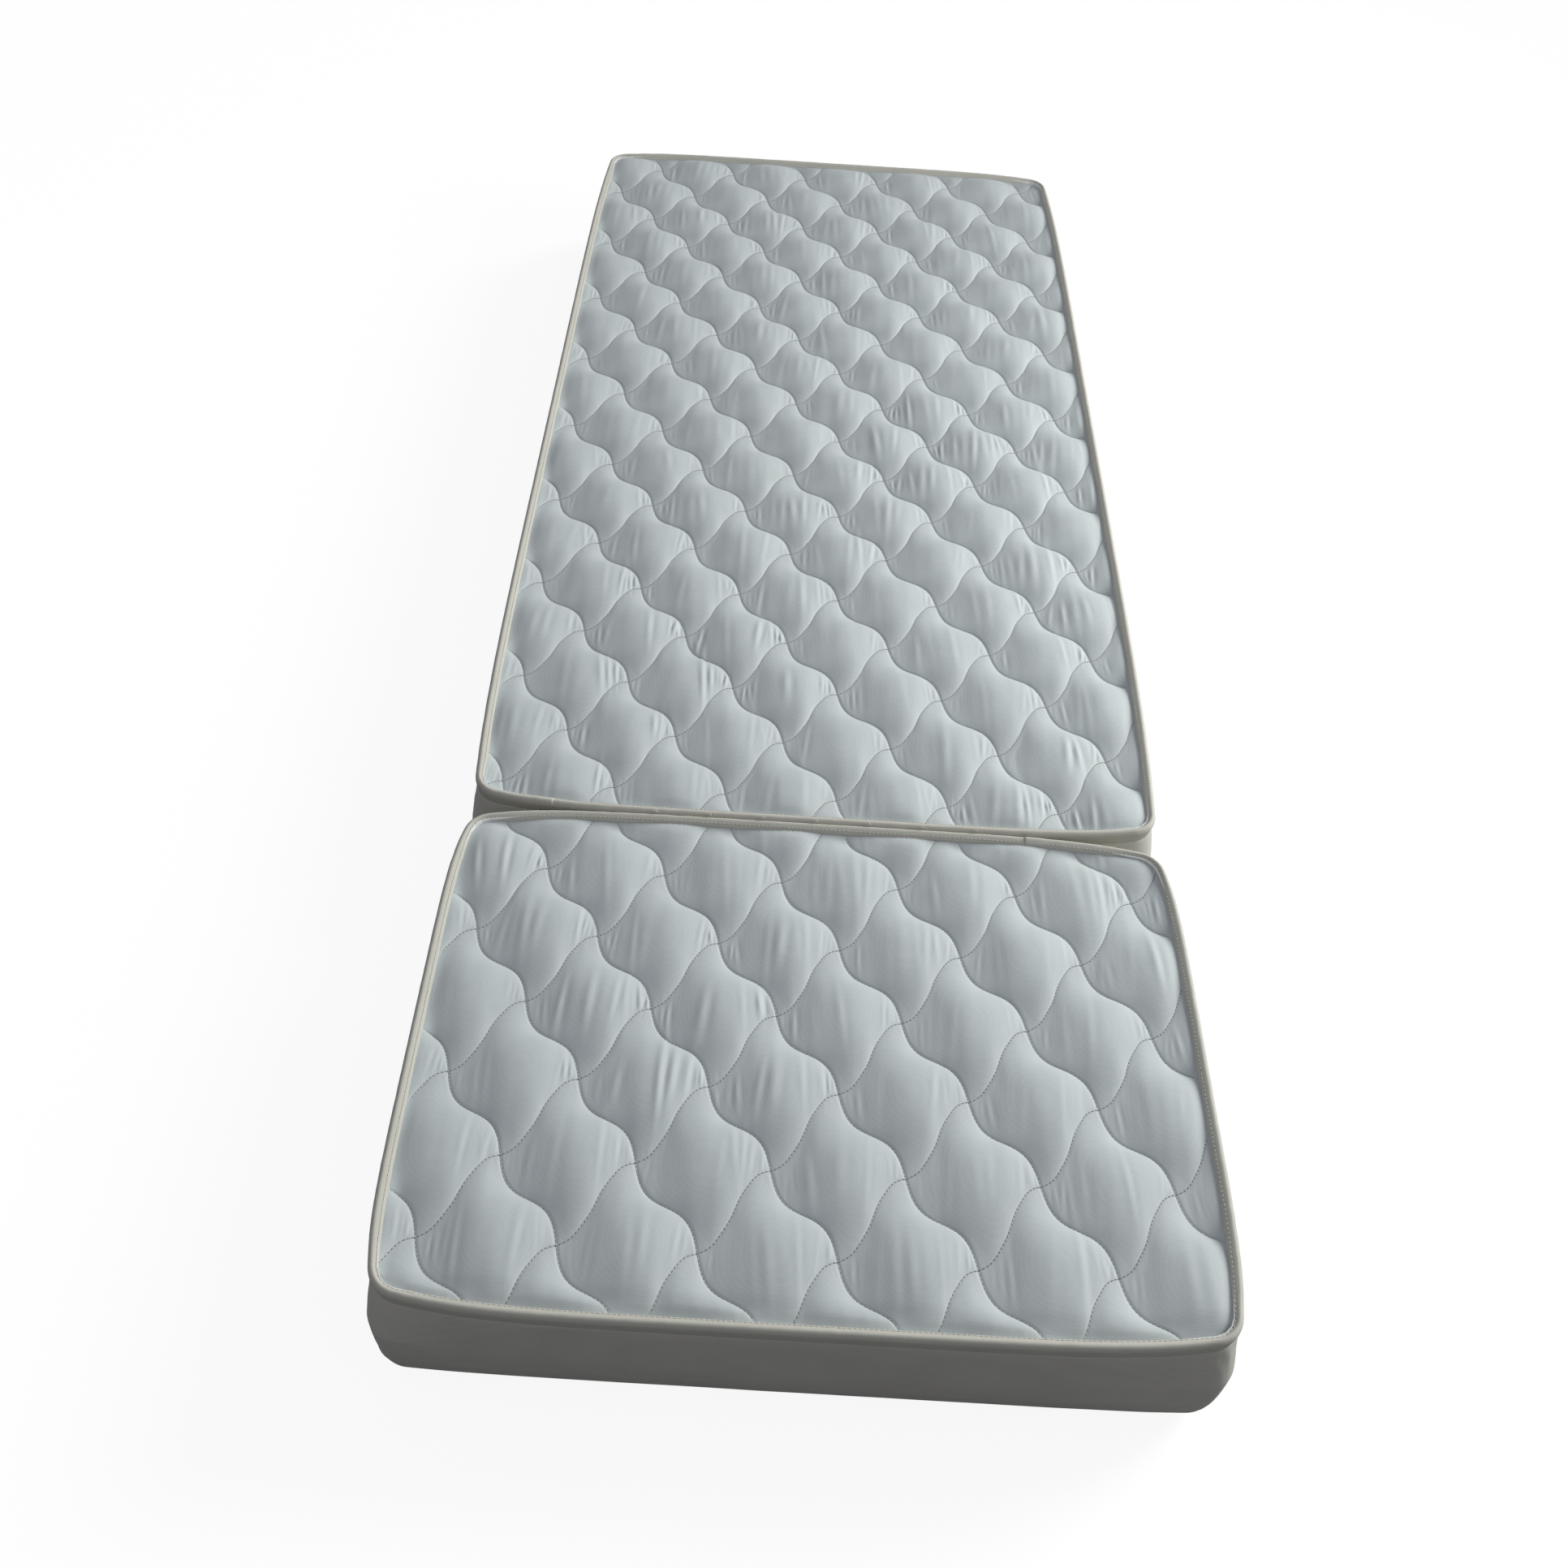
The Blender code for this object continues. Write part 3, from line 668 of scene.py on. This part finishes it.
def panel_grid(section):
    """Grid places inside the tape, their counts, the faces between them and the rim."""
    (along_low, along_high), (across_low, across_high) = cell_counts(section)
    along, across = np.meshgrid(crowded_steps(along_low, along_high), crowded_steps(across_low, across_high),
                                indexing="ij")
    x, y = quilt_place(section, along, across)
    cells = grid_faces(*x.shape)
    x, y, along, across = [a.ravel() for a in (x, y, along, across)]
    depth = inside_panel(section, x, y) + TUCK_UNDER
    cells = cells[depth[cells].mean(axis=1) > 0]
    used, cells = np.unique(cells, return_inverse=True)
    cells = cells.reshape(-1, 4)
    x, y, along, across = x[used], y[used], along[used], across[used]
    edges = np.concatenate([cells[:, [k, (k + 1) % 4]] for k in range(4)])
    key = np.sort(edges, axis=1) @ np.array((len(x), 1))
    _, first, times = np.unique(key, return_index=True, return_counts=True)
    rim_edges = edges[first[times == 1]]
    rim = np.unique(rim_edges)
    step = 1e-5
    for _ in range(4):
        depth = inside_panel(section, x[rim], y[rim]) + TUCK_UNDER
        right = inside_panel(section, x[rim] + step, y[rim]) - inside_panel(section, x[rim] - step, y[rim])
        ahead = inside_panel(section, x[rim], y[rim] + step) - inside_panel(section, x[rim], y[rim] - step)
        x[rim] -= depth * right / (2 * step)
        y[rim] -= depth * ahead / (2 * step)
    return x, y, along, across, cells, rim_edges, rim


def cloth_height(section, along, across, x, y):
    """Height of the quilted cloth over the floor."""
    puff, arch = puffs(section, along, across, x, y)
    lift = folds(section, x, y) + long_waves(section, x, y)
    crease = np.exp(-(((across - np.round(across)) / ACROSS_CREASE) ** 2) / 2)
    shallow = np.exp(-(((along - np.round(along)) / ALONG_CREASE) ** 2) / 2)
    crease = crease + 0.5 * shallow * (1 - crease)
    z = CHANNEL_HEIGHT + puff + lift * np.clip(arch * 12, 0, 1) ** 0.7 - CREASE_DEPTH * crease
    z = held_by_seam(section, x, y, z)
    over = np.maximum(z - HIGHEST_CLOTH + CREST_SOFTNESS, 0)
    softened = z - over + CREST_SOFTNESS * np.tanh(over / CREST_SOFTNESS)
    return np.maximum(softened, CLOTH_UNDERSIDE + LEAST_CLOTH)


def quilted_top(name, section):
    """The quilted cloth of one section."""
    x, y, along, across, cells, rim_edges, rim = panel_grid(section)
    z = cloth_height(section, along, across, x, y)
    top = np.stack([x, y + section["centre"], z], 1)
    hem = np.stack([x[rim], y[rim] + section["centre"], np.full(len(rim), CLOTH_UNDERSIDE)], 1)
    below = {int(v): len(x) + i for i, v in enumerate(rim)}
    faces = [tuple(c) for c in cells] + [(a, below[int(a)], below[int(b)], b) for a, b in rim_edges]
    after = {int(a): int(b) for a, b in rim_edges}
    loop = [int(rim_edges[0][0])]
    while after[loop[-1]] != loop[0]:
        loop.append(after[loop[-1]])
    faces.append(tuple(below[v] for v in loop))
    piece = make_piece(name + "_quilted_top", np.concatenate([top, hem]), faces, [quilted_cotton],
                       name + "_section")
    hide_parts(name + "_top_ticking")
    print(piece.name, "has", len(cells), "faces; its crests reach", round(float(z.max()) * 1000, 1), "mm")


for name, section in SECTIONS.items():
    quilted_top(name, section)

# %% [markdown]
# ## Quilting thread
# The quilting is lockstitch: short straight stitches with a needle hole between one and the next. Each stitch
# is a slim spindle of thread that lies in its channel and dips into the cloth at both ends. Where it starts,
# a small dark cap marks the needle hole, and its darkness is painted shade. All the stitches of a section are
# one piece, because they are alike and lie close together.

# %% Stitches along the channels
STITCH_PITCH = 0.0033
STITCH_SIDES = 6
STITCH_SHARE = 0.74
THREAD_RADIUS = 0.00030
HOLE_RADIUS = 0.00050
DEEP_LINE_SINK = 0.0004


def stitch_template(length, radius, hole_radius):
    """One stitch along its first axis, with a dark cap of painted needle-hole shade at its start."""
    places, faces, kinds = [], [], []
    rings = ((-0.5, 0.3, -0.0007), (-0.28, 1.0, 0.0), (0.28, 1.0, 0.0), (0.5, 0.3, -0.0007))
    turns = [2 * math.pi * k / STITCH_SIDES for k in range(STITCH_SIDES)]
    for share, girth, lift in rings:
        girth = radius * girth
        places += [(share * length, girth * math.cos(t), lift + girth * math.sin(t)) for t in turns]
    for ring in range(len(rings) - 1):
        for k in range(STITCH_SIDES):
            a, b = ring * STITCH_SIDES + k, ring * STITCH_SIDES + (k + 1) % STITCH_SIDES
            faces.append((a, a + STITCH_SIDES, b + STITCH_SIDES, b))
            kinds.append(0)
    faces += [tuple(range(STITCH_SIDES)), tuple(range(len(places) - STITCH_SIDES, len(places)))]
    kinds += [0, 0]
    # The needle hole is a small double cone whose dark colour is painted shade.
    first, middle = len(places), -0.5 * length - 0.5 * (STITCH_PITCH - length)
    places += [(middle + hole_radius * math.cos(t), hole_radius * math.sin(t), 0) for t in turns]
    places += [(middle, 0, 0.00022), (middle, 0, -0.0004)]
    for k in range(STITCH_SIDES):
        a, b = first + k, first + (k + 1) % STITCH_SIDES
        faces += [(a, b, first + STITCH_SIDES), (b, a, first + STITCH_SIDES + 1)]
        kinds += [1, 1]
    return np.array(places), faces, kinds


def stitched_line(places, pitch):
    """Middles and directions of stitches laid end to end along a line of places."""
    run = np.concatenate([[0], np.cumsum(np.linalg.norm(np.diff(places, axis=0), axis=1))])
    ends = np.arange(0, run[-1], pitch)
    knots = np.stack([np.interp(ends, run, places[:, k]) for k in range(places.shape[1])], 1)
    ahead = np.diff(knots, axis=0)
    return (knots[:-1] + knots[1:]) / 2, ahead / np.linalg.norm(ahead, axis=1)[:, None]


def quilting_thread(name, section):
    """All the stitches of one top."""
    (along_low, along_high), (across_low, across_high) = cell_counts(section)
    middles, ahead = [], []
    for fixed_low, fixed_high, free_low, free_high, deep in (
        (along_low, along_high, across_low, across_high, False),
        (across_low, across_high, along_low, along_high, True),
    ):
        free = np.linspace(free_low, free_high, (free_high - free_low) * 60 + 1)
        for fixed in range(fixed_low, fixed_high + 1):
            along, across = (free, np.full_like(free, fixed)) if deep else (np.full_like(free, fixed), free)
            x, y = quilt_place(section, along, across)
            z = CHANNEL_HEIGHT + (-DEEP_LINE_SINK if deep else line_lift(section, across, x, y))
            line = np.column_stack([x, y, held_by_seam(section, x, y, z)])
            line_middles, line_ahead = stitched_line(line, STITCH_PITCH)
            keep = inside_panel(section, line_middles[:, 0], line_middles[:, 1]) > STITCH_PITCH / 2
            middles.append(line_middles[keep] + (0, section["centre"], 0))
            ahead.append(line_ahead[keep])
    middles, ahead = np.concatenate(middles), np.concatenate(ahead)
    count = len(middles)
    up = np.tile((0.0, 0.0, 1.0), (count, 1))
    template = stitch_template(STITCH_SHARE * STITCH_PITCH, THREAD_RADIUS, HOLE_RADIUS)
    places, faces, kinds = set_down(template, middles, ahead, up)
    # The second material is the painted shade of the needle holes.
    piece = make_piece(name + "_quilting_thread", places, faces, [quilting_yarn, needle_hole],
                       name + "_section", kinds)
    print(piece.name, "has", count, "stitches")


for name, section in SECTIONS.items():
    quilting_thread(name, section)

# %% [markdown]
# ## Borders
# The border is one plain padded strip round each section. It stands upright below the tape, swells a little
# between its seams and rounds under to the underside's seam. It waves by a millimetre or so, because cloth
# over wadding does, it puckers just below the tape at the corners, and its ends are joined at the front left
# corner.

# %% Border profile
BORDER_TOP = 0.1090
CLOTH_THICKNESS = 0.0011
BORDER_PROFILE = (
    (0.0042, BORDER_TOP), (0.0030, 0.1076), (0.0026, 0.1062), (0.0013, 0.1047), (0.0008, 0.101),
    (0.0003, 0.092), (0.0, 0.080), (0.0, 0.066), (0.0001, 0.052), (0.0006, 0.040), (0.0013, 0.032),
    (0.0026, 0.0240), (0.0045, 0.0168), (0.0068, 0.0108), (0.0096, 0.0063), (0.0130, 0.0032),
    (0.0175, 0.0015), (0.0240, 0.0010), (0.0302, 0.0010),
)
SWAY = 0.0013
PUCKER = 0.0008
END_SEAM_DEPTH = 0.0016
END_SEAM_RIDGE = 0.0006


def fine_profile(profile, steps):
    """A profile at even steps, and the direction that its outer face looks in, as inset and height."""
    points = np.array(profile)
    run = np.concatenate([[0], np.cumsum(np.linalg.norm(np.diff(points, axis=0), axis=1))])
    even = np.linspace(0, run[-1], steps)
    points = np.stack([np.interp(even, run, points[:, k]) for k in (0, 1)], 1)
    slope = np.gradient(points, axis=0)
    face = np.stack([slope[:, 1], -slope[:, 0]], 1)
    return points, face / np.linalg.norm(face, axis=1)[:, None]


def loops_at(section, spacing, profile):
    """The loops of a profile, row by row: places with heights, and outward directions."""
    rows, ways = [], []
    for inset, height in profile:
        loop, way = edge_loop(section, spacing, inset, height)
        rows.append(np.column_stack([loop[:, 0], loop[:, 1] + section["centre"], np.full(len(loop), height)]))
        ways.append(np.column_stack([way, np.zeros(len(way))]))
    return np.array(rows), np.array(ways)


def corner_share(section, x, y):
    """How near a place is to one of the section's corners, from 0 to 1."""
    away_x = WIDTH / 2 - abs(x)
    away_y = section["length"] / 2 - abs(y - section["centre"])
    return 1 - smooth_step(np.hypot(away_x, away_y), 0.015, 0.060)


def border_sway(section, places):
    """How far the padded border stands out or in at each place."""
    x, y, z = np.moveaxis(places, -1, 0)
    waves = smooth_noise(x / 0.10, y / 0.10, z / 0.09 + 5.0)
    waves = waves + 0.4 * smooth_noise(x / 0.035, y / 0.035, z / 0.06)
    free = smooth_step(z, 0.004, 0.03) * (1 - smooth_step(z, 0.088, 0.106))
    near = corner_share(section, x, y)
    pucker = smooth_noise(x / 0.0055, y / 0.0055, z / 0.05) * near * smooth_step(z, 0.065, 0.098)
    pucker = pucker * (1 - smooth_step(z, 0.103, 0.107))
    seam_x, seam_y = -WIDTH / 2 + 0.006, section["centre"] - section["length"] / 2 + 0.010
    from_seam = np.hypot(x - seam_x, y - seam_y) * np.where(x - seam_x > y - seam_y, 1, -1)
    groove = -END_SEAM_DEPTH * np.exp(-((from_seam / 0.0016) ** 2) / 2)
    groove = groove + END_SEAM_RIDGE * np.exp(-(((from_seam - 0.004) / 0.002) ** 2) / 2)
    return SWAY * waves * free + PUCKER * pucker + groove * smooth_step(z, 0.002, 0.01)


print("The border is", round((BORDER_TOP - 0.001) * 1000), "mm high")

# %% [markdown]
# Where the two sections meet, the border may only sway inwards, so that the covers don't run into each other.

# %% Border covers
def border_cover(name, section):
    """The border cloth of one section, a thin closed shell."""
    spacing = 0.0035
    profile, face = fine_profile(BORDER_PROFILE, 48)
    outer, ways = loops_at(section, spacing, profile)
    sway = border_sway(section, outer)
    meets = (outer[..., 1] - section["centre"]) * section["facing"] > section["length"] / 2 - 0.03
    sway = np.where(meets, -abs(sway) * 0.4, sway)
    inner = outer + ways * face[:, 0, None, None] * CLOTH_THICKNESS
    inner[..., 2] -= face[:, 1, None] * CLOTH_THICKNESS
    outer, inner = outer + ways * sway[..., None], inner + ways * sway[..., None]
    rows = np.concatenate([outer, inner[::-1]])
    piece = make_piece(name + "_border_cloth", rows.reshape(-1, 3), grid_faces(*rows.shape[:2], True, True),
                       [border_cotton], name + "_section")
    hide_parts(name + "_border_ticking")
    print(piece.name, "has", len(piece.data.polygons), "faces")


for name, section in SECTIONS.items():
    border_cover(name, section)

# %% [markdown]
# ## Binding tapes
# The tape is a woven strip folded over the raw edges of the top and the border. Its rounded crest stands over
# the quilting, one leg runs down outside the border and the other one presses on the top. It is pulled
# narrower round the corners. Its ends lap on the side that faces the other section, one over the other.

# %% Binding tape
TAPE_THICKNESS = 0.0011
LAP_LENGTH = 0.012
LAP_LIFT = 0.0005
CORNER_PINCH_SHARE = 0.5
PINCHED_FROM = 0.004
TAPE_PROFILE = (
    (0.0013, 0.1056), (0.0010, 0.1080), (0.0005, 0.1110), (0.0001, 0.1138), (0.0002, 0.1160),
    (0.0009, 0.1178), (0.0020, 0.1190), (0.0033, 0.1195), (0.0046, 0.1191), (0.0060, 0.1182),
    (0.0073, 0.1171), (0.0082, 0.1160), (0.0087, 0.1145), (0.0087, 0.1084),
)
TAPE_WAVE = 0.00030
TAPE_RIPPLE = 0.00012


def tape_inset(section, places, inset):
    """An inset on the tape, drawn out towards the edge near the corners."""
    near = corner_share(section, places[..., 0], places[..., 1])
    return inset - np.maximum(inset - PINCHED_FROM, 0) * CORNER_PINCH_SHARE * near


def binding_tape(name, section):
    """The tape of one section, one strip whose ends lap."""
    loop, ways = edge_loop(section, 0.0022)
    loop = loop + (0, section["centre"])
    lap = np.array((section["lap"], section["centre"] + section["facing"] * section["length"] / 2))
    start = int(np.argmin(np.linalg.norm(loop - lap, axis=1)))
    loop, ways = np.roll(loop, -start, axis=0), np.roll(ways, -start, axis=0)
    run = np.cumsum(np.linalg.norm(np.diff(loop, axis=0, prepend=loop[:1]), axis=1))
    extra = int(np.searchsorted(run, LAP_LENGTH)) + 1
    order = np.concatenate([run - run[-1], run[:extra]])
    loop, ways = np.concatenate([loop, loop[:extra]]), np.concatenate([ways, ways[:extra]])
    profile, face = fine_profile(TAPE_PROFILE, 40)
    insets, heights = profile.T
    lift = LAP_LIFT * (smooth_step(order, -0.005, -0.001) - 1)
    wave = TAPE_WAVE * smooth_noise(loop[:, 0] / 0.018, loop[:, 1] / 0.018, 2.0)
    fine = TAPE_RIPPLE * smooth_noise(loop[:, 0] / 0.005, loop[:, 1] / 0.005, 6.0)
    raised = smooth_step(heights, 0.108, 0.118)
    inward = tape_inset(section, loop[:, None, :], insets[None, :]) + abs(wave + fine)[:, None] * 0.8
    z = heights[None, :] + (lift - abs(wave) + fine)[:, None] * raised[None, :]
    outer = np.concatenate([loop[:, None, :] - ways[:, None, :] * inward[..., None], z[..., None]], 2)
    inner = outer.copy()
    inner[..., :2] -= ways[:, None, :] * (face[:, 0] * TAPE_THICKNESS)[None, :, None]
    inner[..., 2] += face[:, 1] * TAPE_THICKNESS
    strip = np.concatenate([outer, inner[:, ::-1]], 1)
    count, columns = strip.shape[:2]
    faces = [tuple(f) for f in grid_faces(count, columns, False, True)]
    faces += [tuple(range(columns)), tuple(range((count - 1) * columns, count * columns))]
    piece = make_piece(name + "_binding_tape", strip.reshape(-1, 3), faces, [tape_cotton], name + "_section")
    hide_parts(name + "_edge_binding")
    print(piece.name, "reaches", round(float(strip[..., 2].max()) * 1000, 2), "mm")


for name, section in SECTIONS.items():
    binding_tape(name, section)

# %% [markdown]
# A row of stitches holds the tape, close to its inner edge. They sink a little into the tape, and each has a
# dark cap of painted shade at its needle hole.

# %% Topstitching
TOPSTITCH_PITCH = 0.0036
TOPSTITCH_INSET = 0.0070
TOPSTITCH_HEIGHT = 0.1171


def topstitching(name, section):
    """The row of stitches along one tape."""
    loop, ways = edge_loop(section, 0.002)
    loop = loop + (0, section["centre"])
    line = loop - ways * tape_inset(section, loop, TOPSTITCH_INSET)[:, None]
    line = np.concatenate([line, line[:1]])
    middles, ahead = stitched_line(line, TOPSTITCH_PITCH)
    count = len(middles)
    middles = np.column_stack([middles, np.full(count, TOPSTITCH_HEIGHT)])
    ahead = np.column_stack([ahead, np.zeros(count)])
    out = np.cross(ahead, (0.0, 0.0, 1.0))
    up = np.array((0.0, 0.0, 0.82)) - 0.57 * out
    template = stitch_template(0.8 * TOPSTITCH_PITCH, 0.00030, 0.00028)
    places, faces, kinds = set_down(template, middles, ahead, up / np.linalg.norm(up, axis=1)[:, None])
    # The dark second material is painted shade at the needle holes.
    piece = make_piece(name + "_topstitching", places, faces, [seam_yarn, needle_hole], name + "_section",
                       kinds)
    print(piece.name, "has", count, "stitches")


for name, section in SECTIONS.items():
    topstitching(name, section)

# %% [markdown]
# ## Tacks
# The two tapes are joined by thread tacks along the straight middle of the meeting edges. Each tack is a few
# turns of thread round the fold line, so that the short section can fold up over the long one.

# %% Tack coils
COIL_RADIUS = 0.0009
COIL_THREAD = 0.0003
COIL_TURNS = 3.5
COIL_LENGTH = 0.0034


def tack_coil(number):
    """A coil of thread at the place of one tack."""
    low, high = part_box(f"tack_stitch_{number}")
    middle = np.array([(a + b) / 2 for a, b in zip(low, high)])
    steps = np.linspace(-0.5, 0.5, 85)
    turn = steps * COIL_TURNS * 2 * math.pi
    line = np.stack([steps * COIL_LENGTH, COIL_RADIUS * np.cos(turn), COIL_RADIUS * np.sin(turn)], 1) + middle
    ahead = np.gradient(line, axis=0)
    ahead /= np.linalg.norm(ahead, axis=1)[:, None]
    out = np.stack([np.zeros_like(turn), np.cos(turn), np.sin(turn)], 1)
    beside = np.cross(ahead, out)
    around = [2 * math.pi * k / 8 for k in range(8)]
    rings = np.stack([line + COIL_THREAD * (math.cos(t) * out + math.sin(t) * beside) for t in around], 1)
    faces = [tuple(f) for f in grid_faces(len(line), 8, False, True)]
    faces += [tuple(range(8)), tuple(range(len(line) * 8 - 8, len(line) * 8))]
    piece = make_piece(f"tack_coil_{number}", rings.reshape(-1, 3), faces, [seam_yarn], "long_section")
    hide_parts(f"tack_stitch_{number}")
    return piece


tack_coils = [tack_coil(number) for number in range(1, 8)]
print("Tacks:", len(tack_coils))

# %% [markdown]
# ## Undersides
# The underside is one plain padded cloth. It lies within a millimetre of what the mattress rests on, and it
# waves slightly. Rings of places, each a smaller copy of its outline, cover it from the seam to its middle.

# %% Underside cloths
HEM_SEAM_INSET = 0.0304
RIM_HEIGHT = 0.0010
UNDERSIDE_TOP = 0.0023
RING_SHARES = (
    1.0, 0.995, 0.985, 0.965, 0.93, 0.88, 0.82, 0.74, 0.66,
    0.58, 0.5, 0.42, 0.34, 0.26, 0.18, 0.1, 0.04,
)


def underside_cloth(name, section):
    """The plain cloth below one section, closed by a flat top face."""
    loop, _ = edge_loop(section, 0.012, HEM_SEAM_INSET, 0.0)
    rings = []
    for share in RING_SHARES:
        x, y = (loop * share + (0, section["centre"])).T
        wave = 0.5 + 0.5 * smooth_noise(x / 0.05, y / 0.05, 4.0)
        rings.append(np.column_stack([x, y, RIM_HEIGHT * (wave * 0.75 if share < 1 else np.ones_like(wave))]))
    rings = [np.column_stack([rings[0][:, :2], np.full(len(loop), UNDERSIDE_TOP)])] + rings
    columns = len(loop)
    faces = [tuple(f) for f in grid_faces(len(rings), columns, False, True)]
    faces += [tuple(range(columns)), tuple(range((len(rings) - 1) * columns, len(rings) * columns))]
    piece = make_piece(name + "_underside_cloth", np.concatenate(rings), faces, [border_cotton],
                       name + "_section")
    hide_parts(name + "_bottom_ticking")
    print(piece.name, "has", len(faces), "faces")


for name, section in SECTIONS.items():
    underside_cloth(name, section)

# %% [markdown]
# An overlocked seam joins the underside to the border's hem. Its threads cross the seam to and fro.

# %% Overlocked seams
OVERLOCK_PITCH = 0.0035
OVERLOCK_WIDTH = 0.0034


def overlock_seam(name, section):
    """Slanted threads to and fro across one hem seam."""
    line, _ = edge_loop(section, 0.002, HEM_SEAM_INSET, 0.0)
    line = line + (0, section["centre"])
    middles, ahead = stitched_line(np.concatenate([line, line[:1]]), OVERLOCK_PITCH / 2)
    count = len(middles)
    ahead = np.column_stack([ahead, np.zeros(count)])
    beside = np.cross(ahead, (0.0, 0.0, 1.0))
    side = np.where(np.arange(count) % 2, 1.0, -1.0)[:, None]
    slant = ahead * OVERLOCK_PITCH / 2 + beside * OVERLOCK_WIDTH * side
    slant /= np.linalg.norm(slant, axis=1)[:, None]
    middles = np.column_stack([middles, np.full(count, 0.0006)])
    places, faces, kinds = stitch_template(OVERLOCK_WIDTH, 0.00035, 0.0003)
    threads = len(places) - STITCH_SIDES - 2
    kept = [face for face, kind in zip(faces, kinds) if kind == 0]
    template = places[:threads] * (1, 1, -1), kept, [0] * len(kept)
    places, faces, _ = set_down(template, middles, slant, np.tile((0.0, 0.0, 1.0), (count, 1)))
    piece = make_piece(name + "_overlock_seam", places, faces, [seam_yarn], name + "_section")
    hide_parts(name + "_bottom_seam")
    print(piece.name, "has", count, "threads")


for name, section in SECTIONS.items():
    overlock_seam(name, section)

# %% [markdown]
# ## Inside
# Foam, wadding and backing lie inside the covers and don't show, but they open to view when the model is cut
# or a cover is hidden. Foam has fine open cells, wadding is a loose mass of fibres, and the backing is a thin
# bonded web with small bonding points.

# %% Inner materials
def fibrous(name, colour, size, depth, roughness):
    """A material with fine uneven relief and a slight change of shade."""
    material, nodes, links = new_material(name)
    place = nodes.new("ShaderNodeTexCoord")
    grain = nodes.new("ShaderNodeTexNoise")
    grain.inputs["Scale"].default_value = 1 / size
    grain.inputs["Detail"].default_value = 4
    links.new(place.outputs["Object"], grain.inputs["Vector"])
    shade = nodes.new("ShaderNodeValToRGB")
    shade.color_ramp.elements[0].color = (*[c * 0.88 for c in colour], 1)
    shade.color_ramp.elements[1].color = (*colour, 1)
    links.new(grain.outputs["Fac"], shade.inputs["Fac"])
    relief = nodes.new("ShaderNodeBump")
    relief.inputs["Distance"].default_value = depth
    links.new(grain.outputs["Fac"], relief.inputs["Height"])
    surface = nodes["Principled BSDF"]
    surface.inputs["Roughness"].default_value = roughness
    links.new(shade.outputs["Color"], surface.inputs["Base Color"])
    links.new(relief.outputs["Normal"], surface.inputs["Normal"])
    return material


INNER_FINISHES = {
    "foam_core": fibrous("open_cell_foam", (0.93, 0.90, 0.80), 0.0012, 0.0004, 0.95),
    "wadding": fibrous("polyester_wadding", (0.93, 0.93, 0.92), 0.0030, 0.0008, 0.95),
    "backing": fibrous("bonded_backing", (0.88, 0.88, 0.86), 0.0016, 0.0001, 0.90),
}
for node, ending in [(o, e) for o in bpy.data.objects for e in INNER_FINISHES if o.name.endswith(e)]:
    for number in range(len(node.material_slots)):
        node.material_slots[number].material = INNER_FINISHES[ending]
    print(node.name, "is", INNER_FINISHES[ending].name)
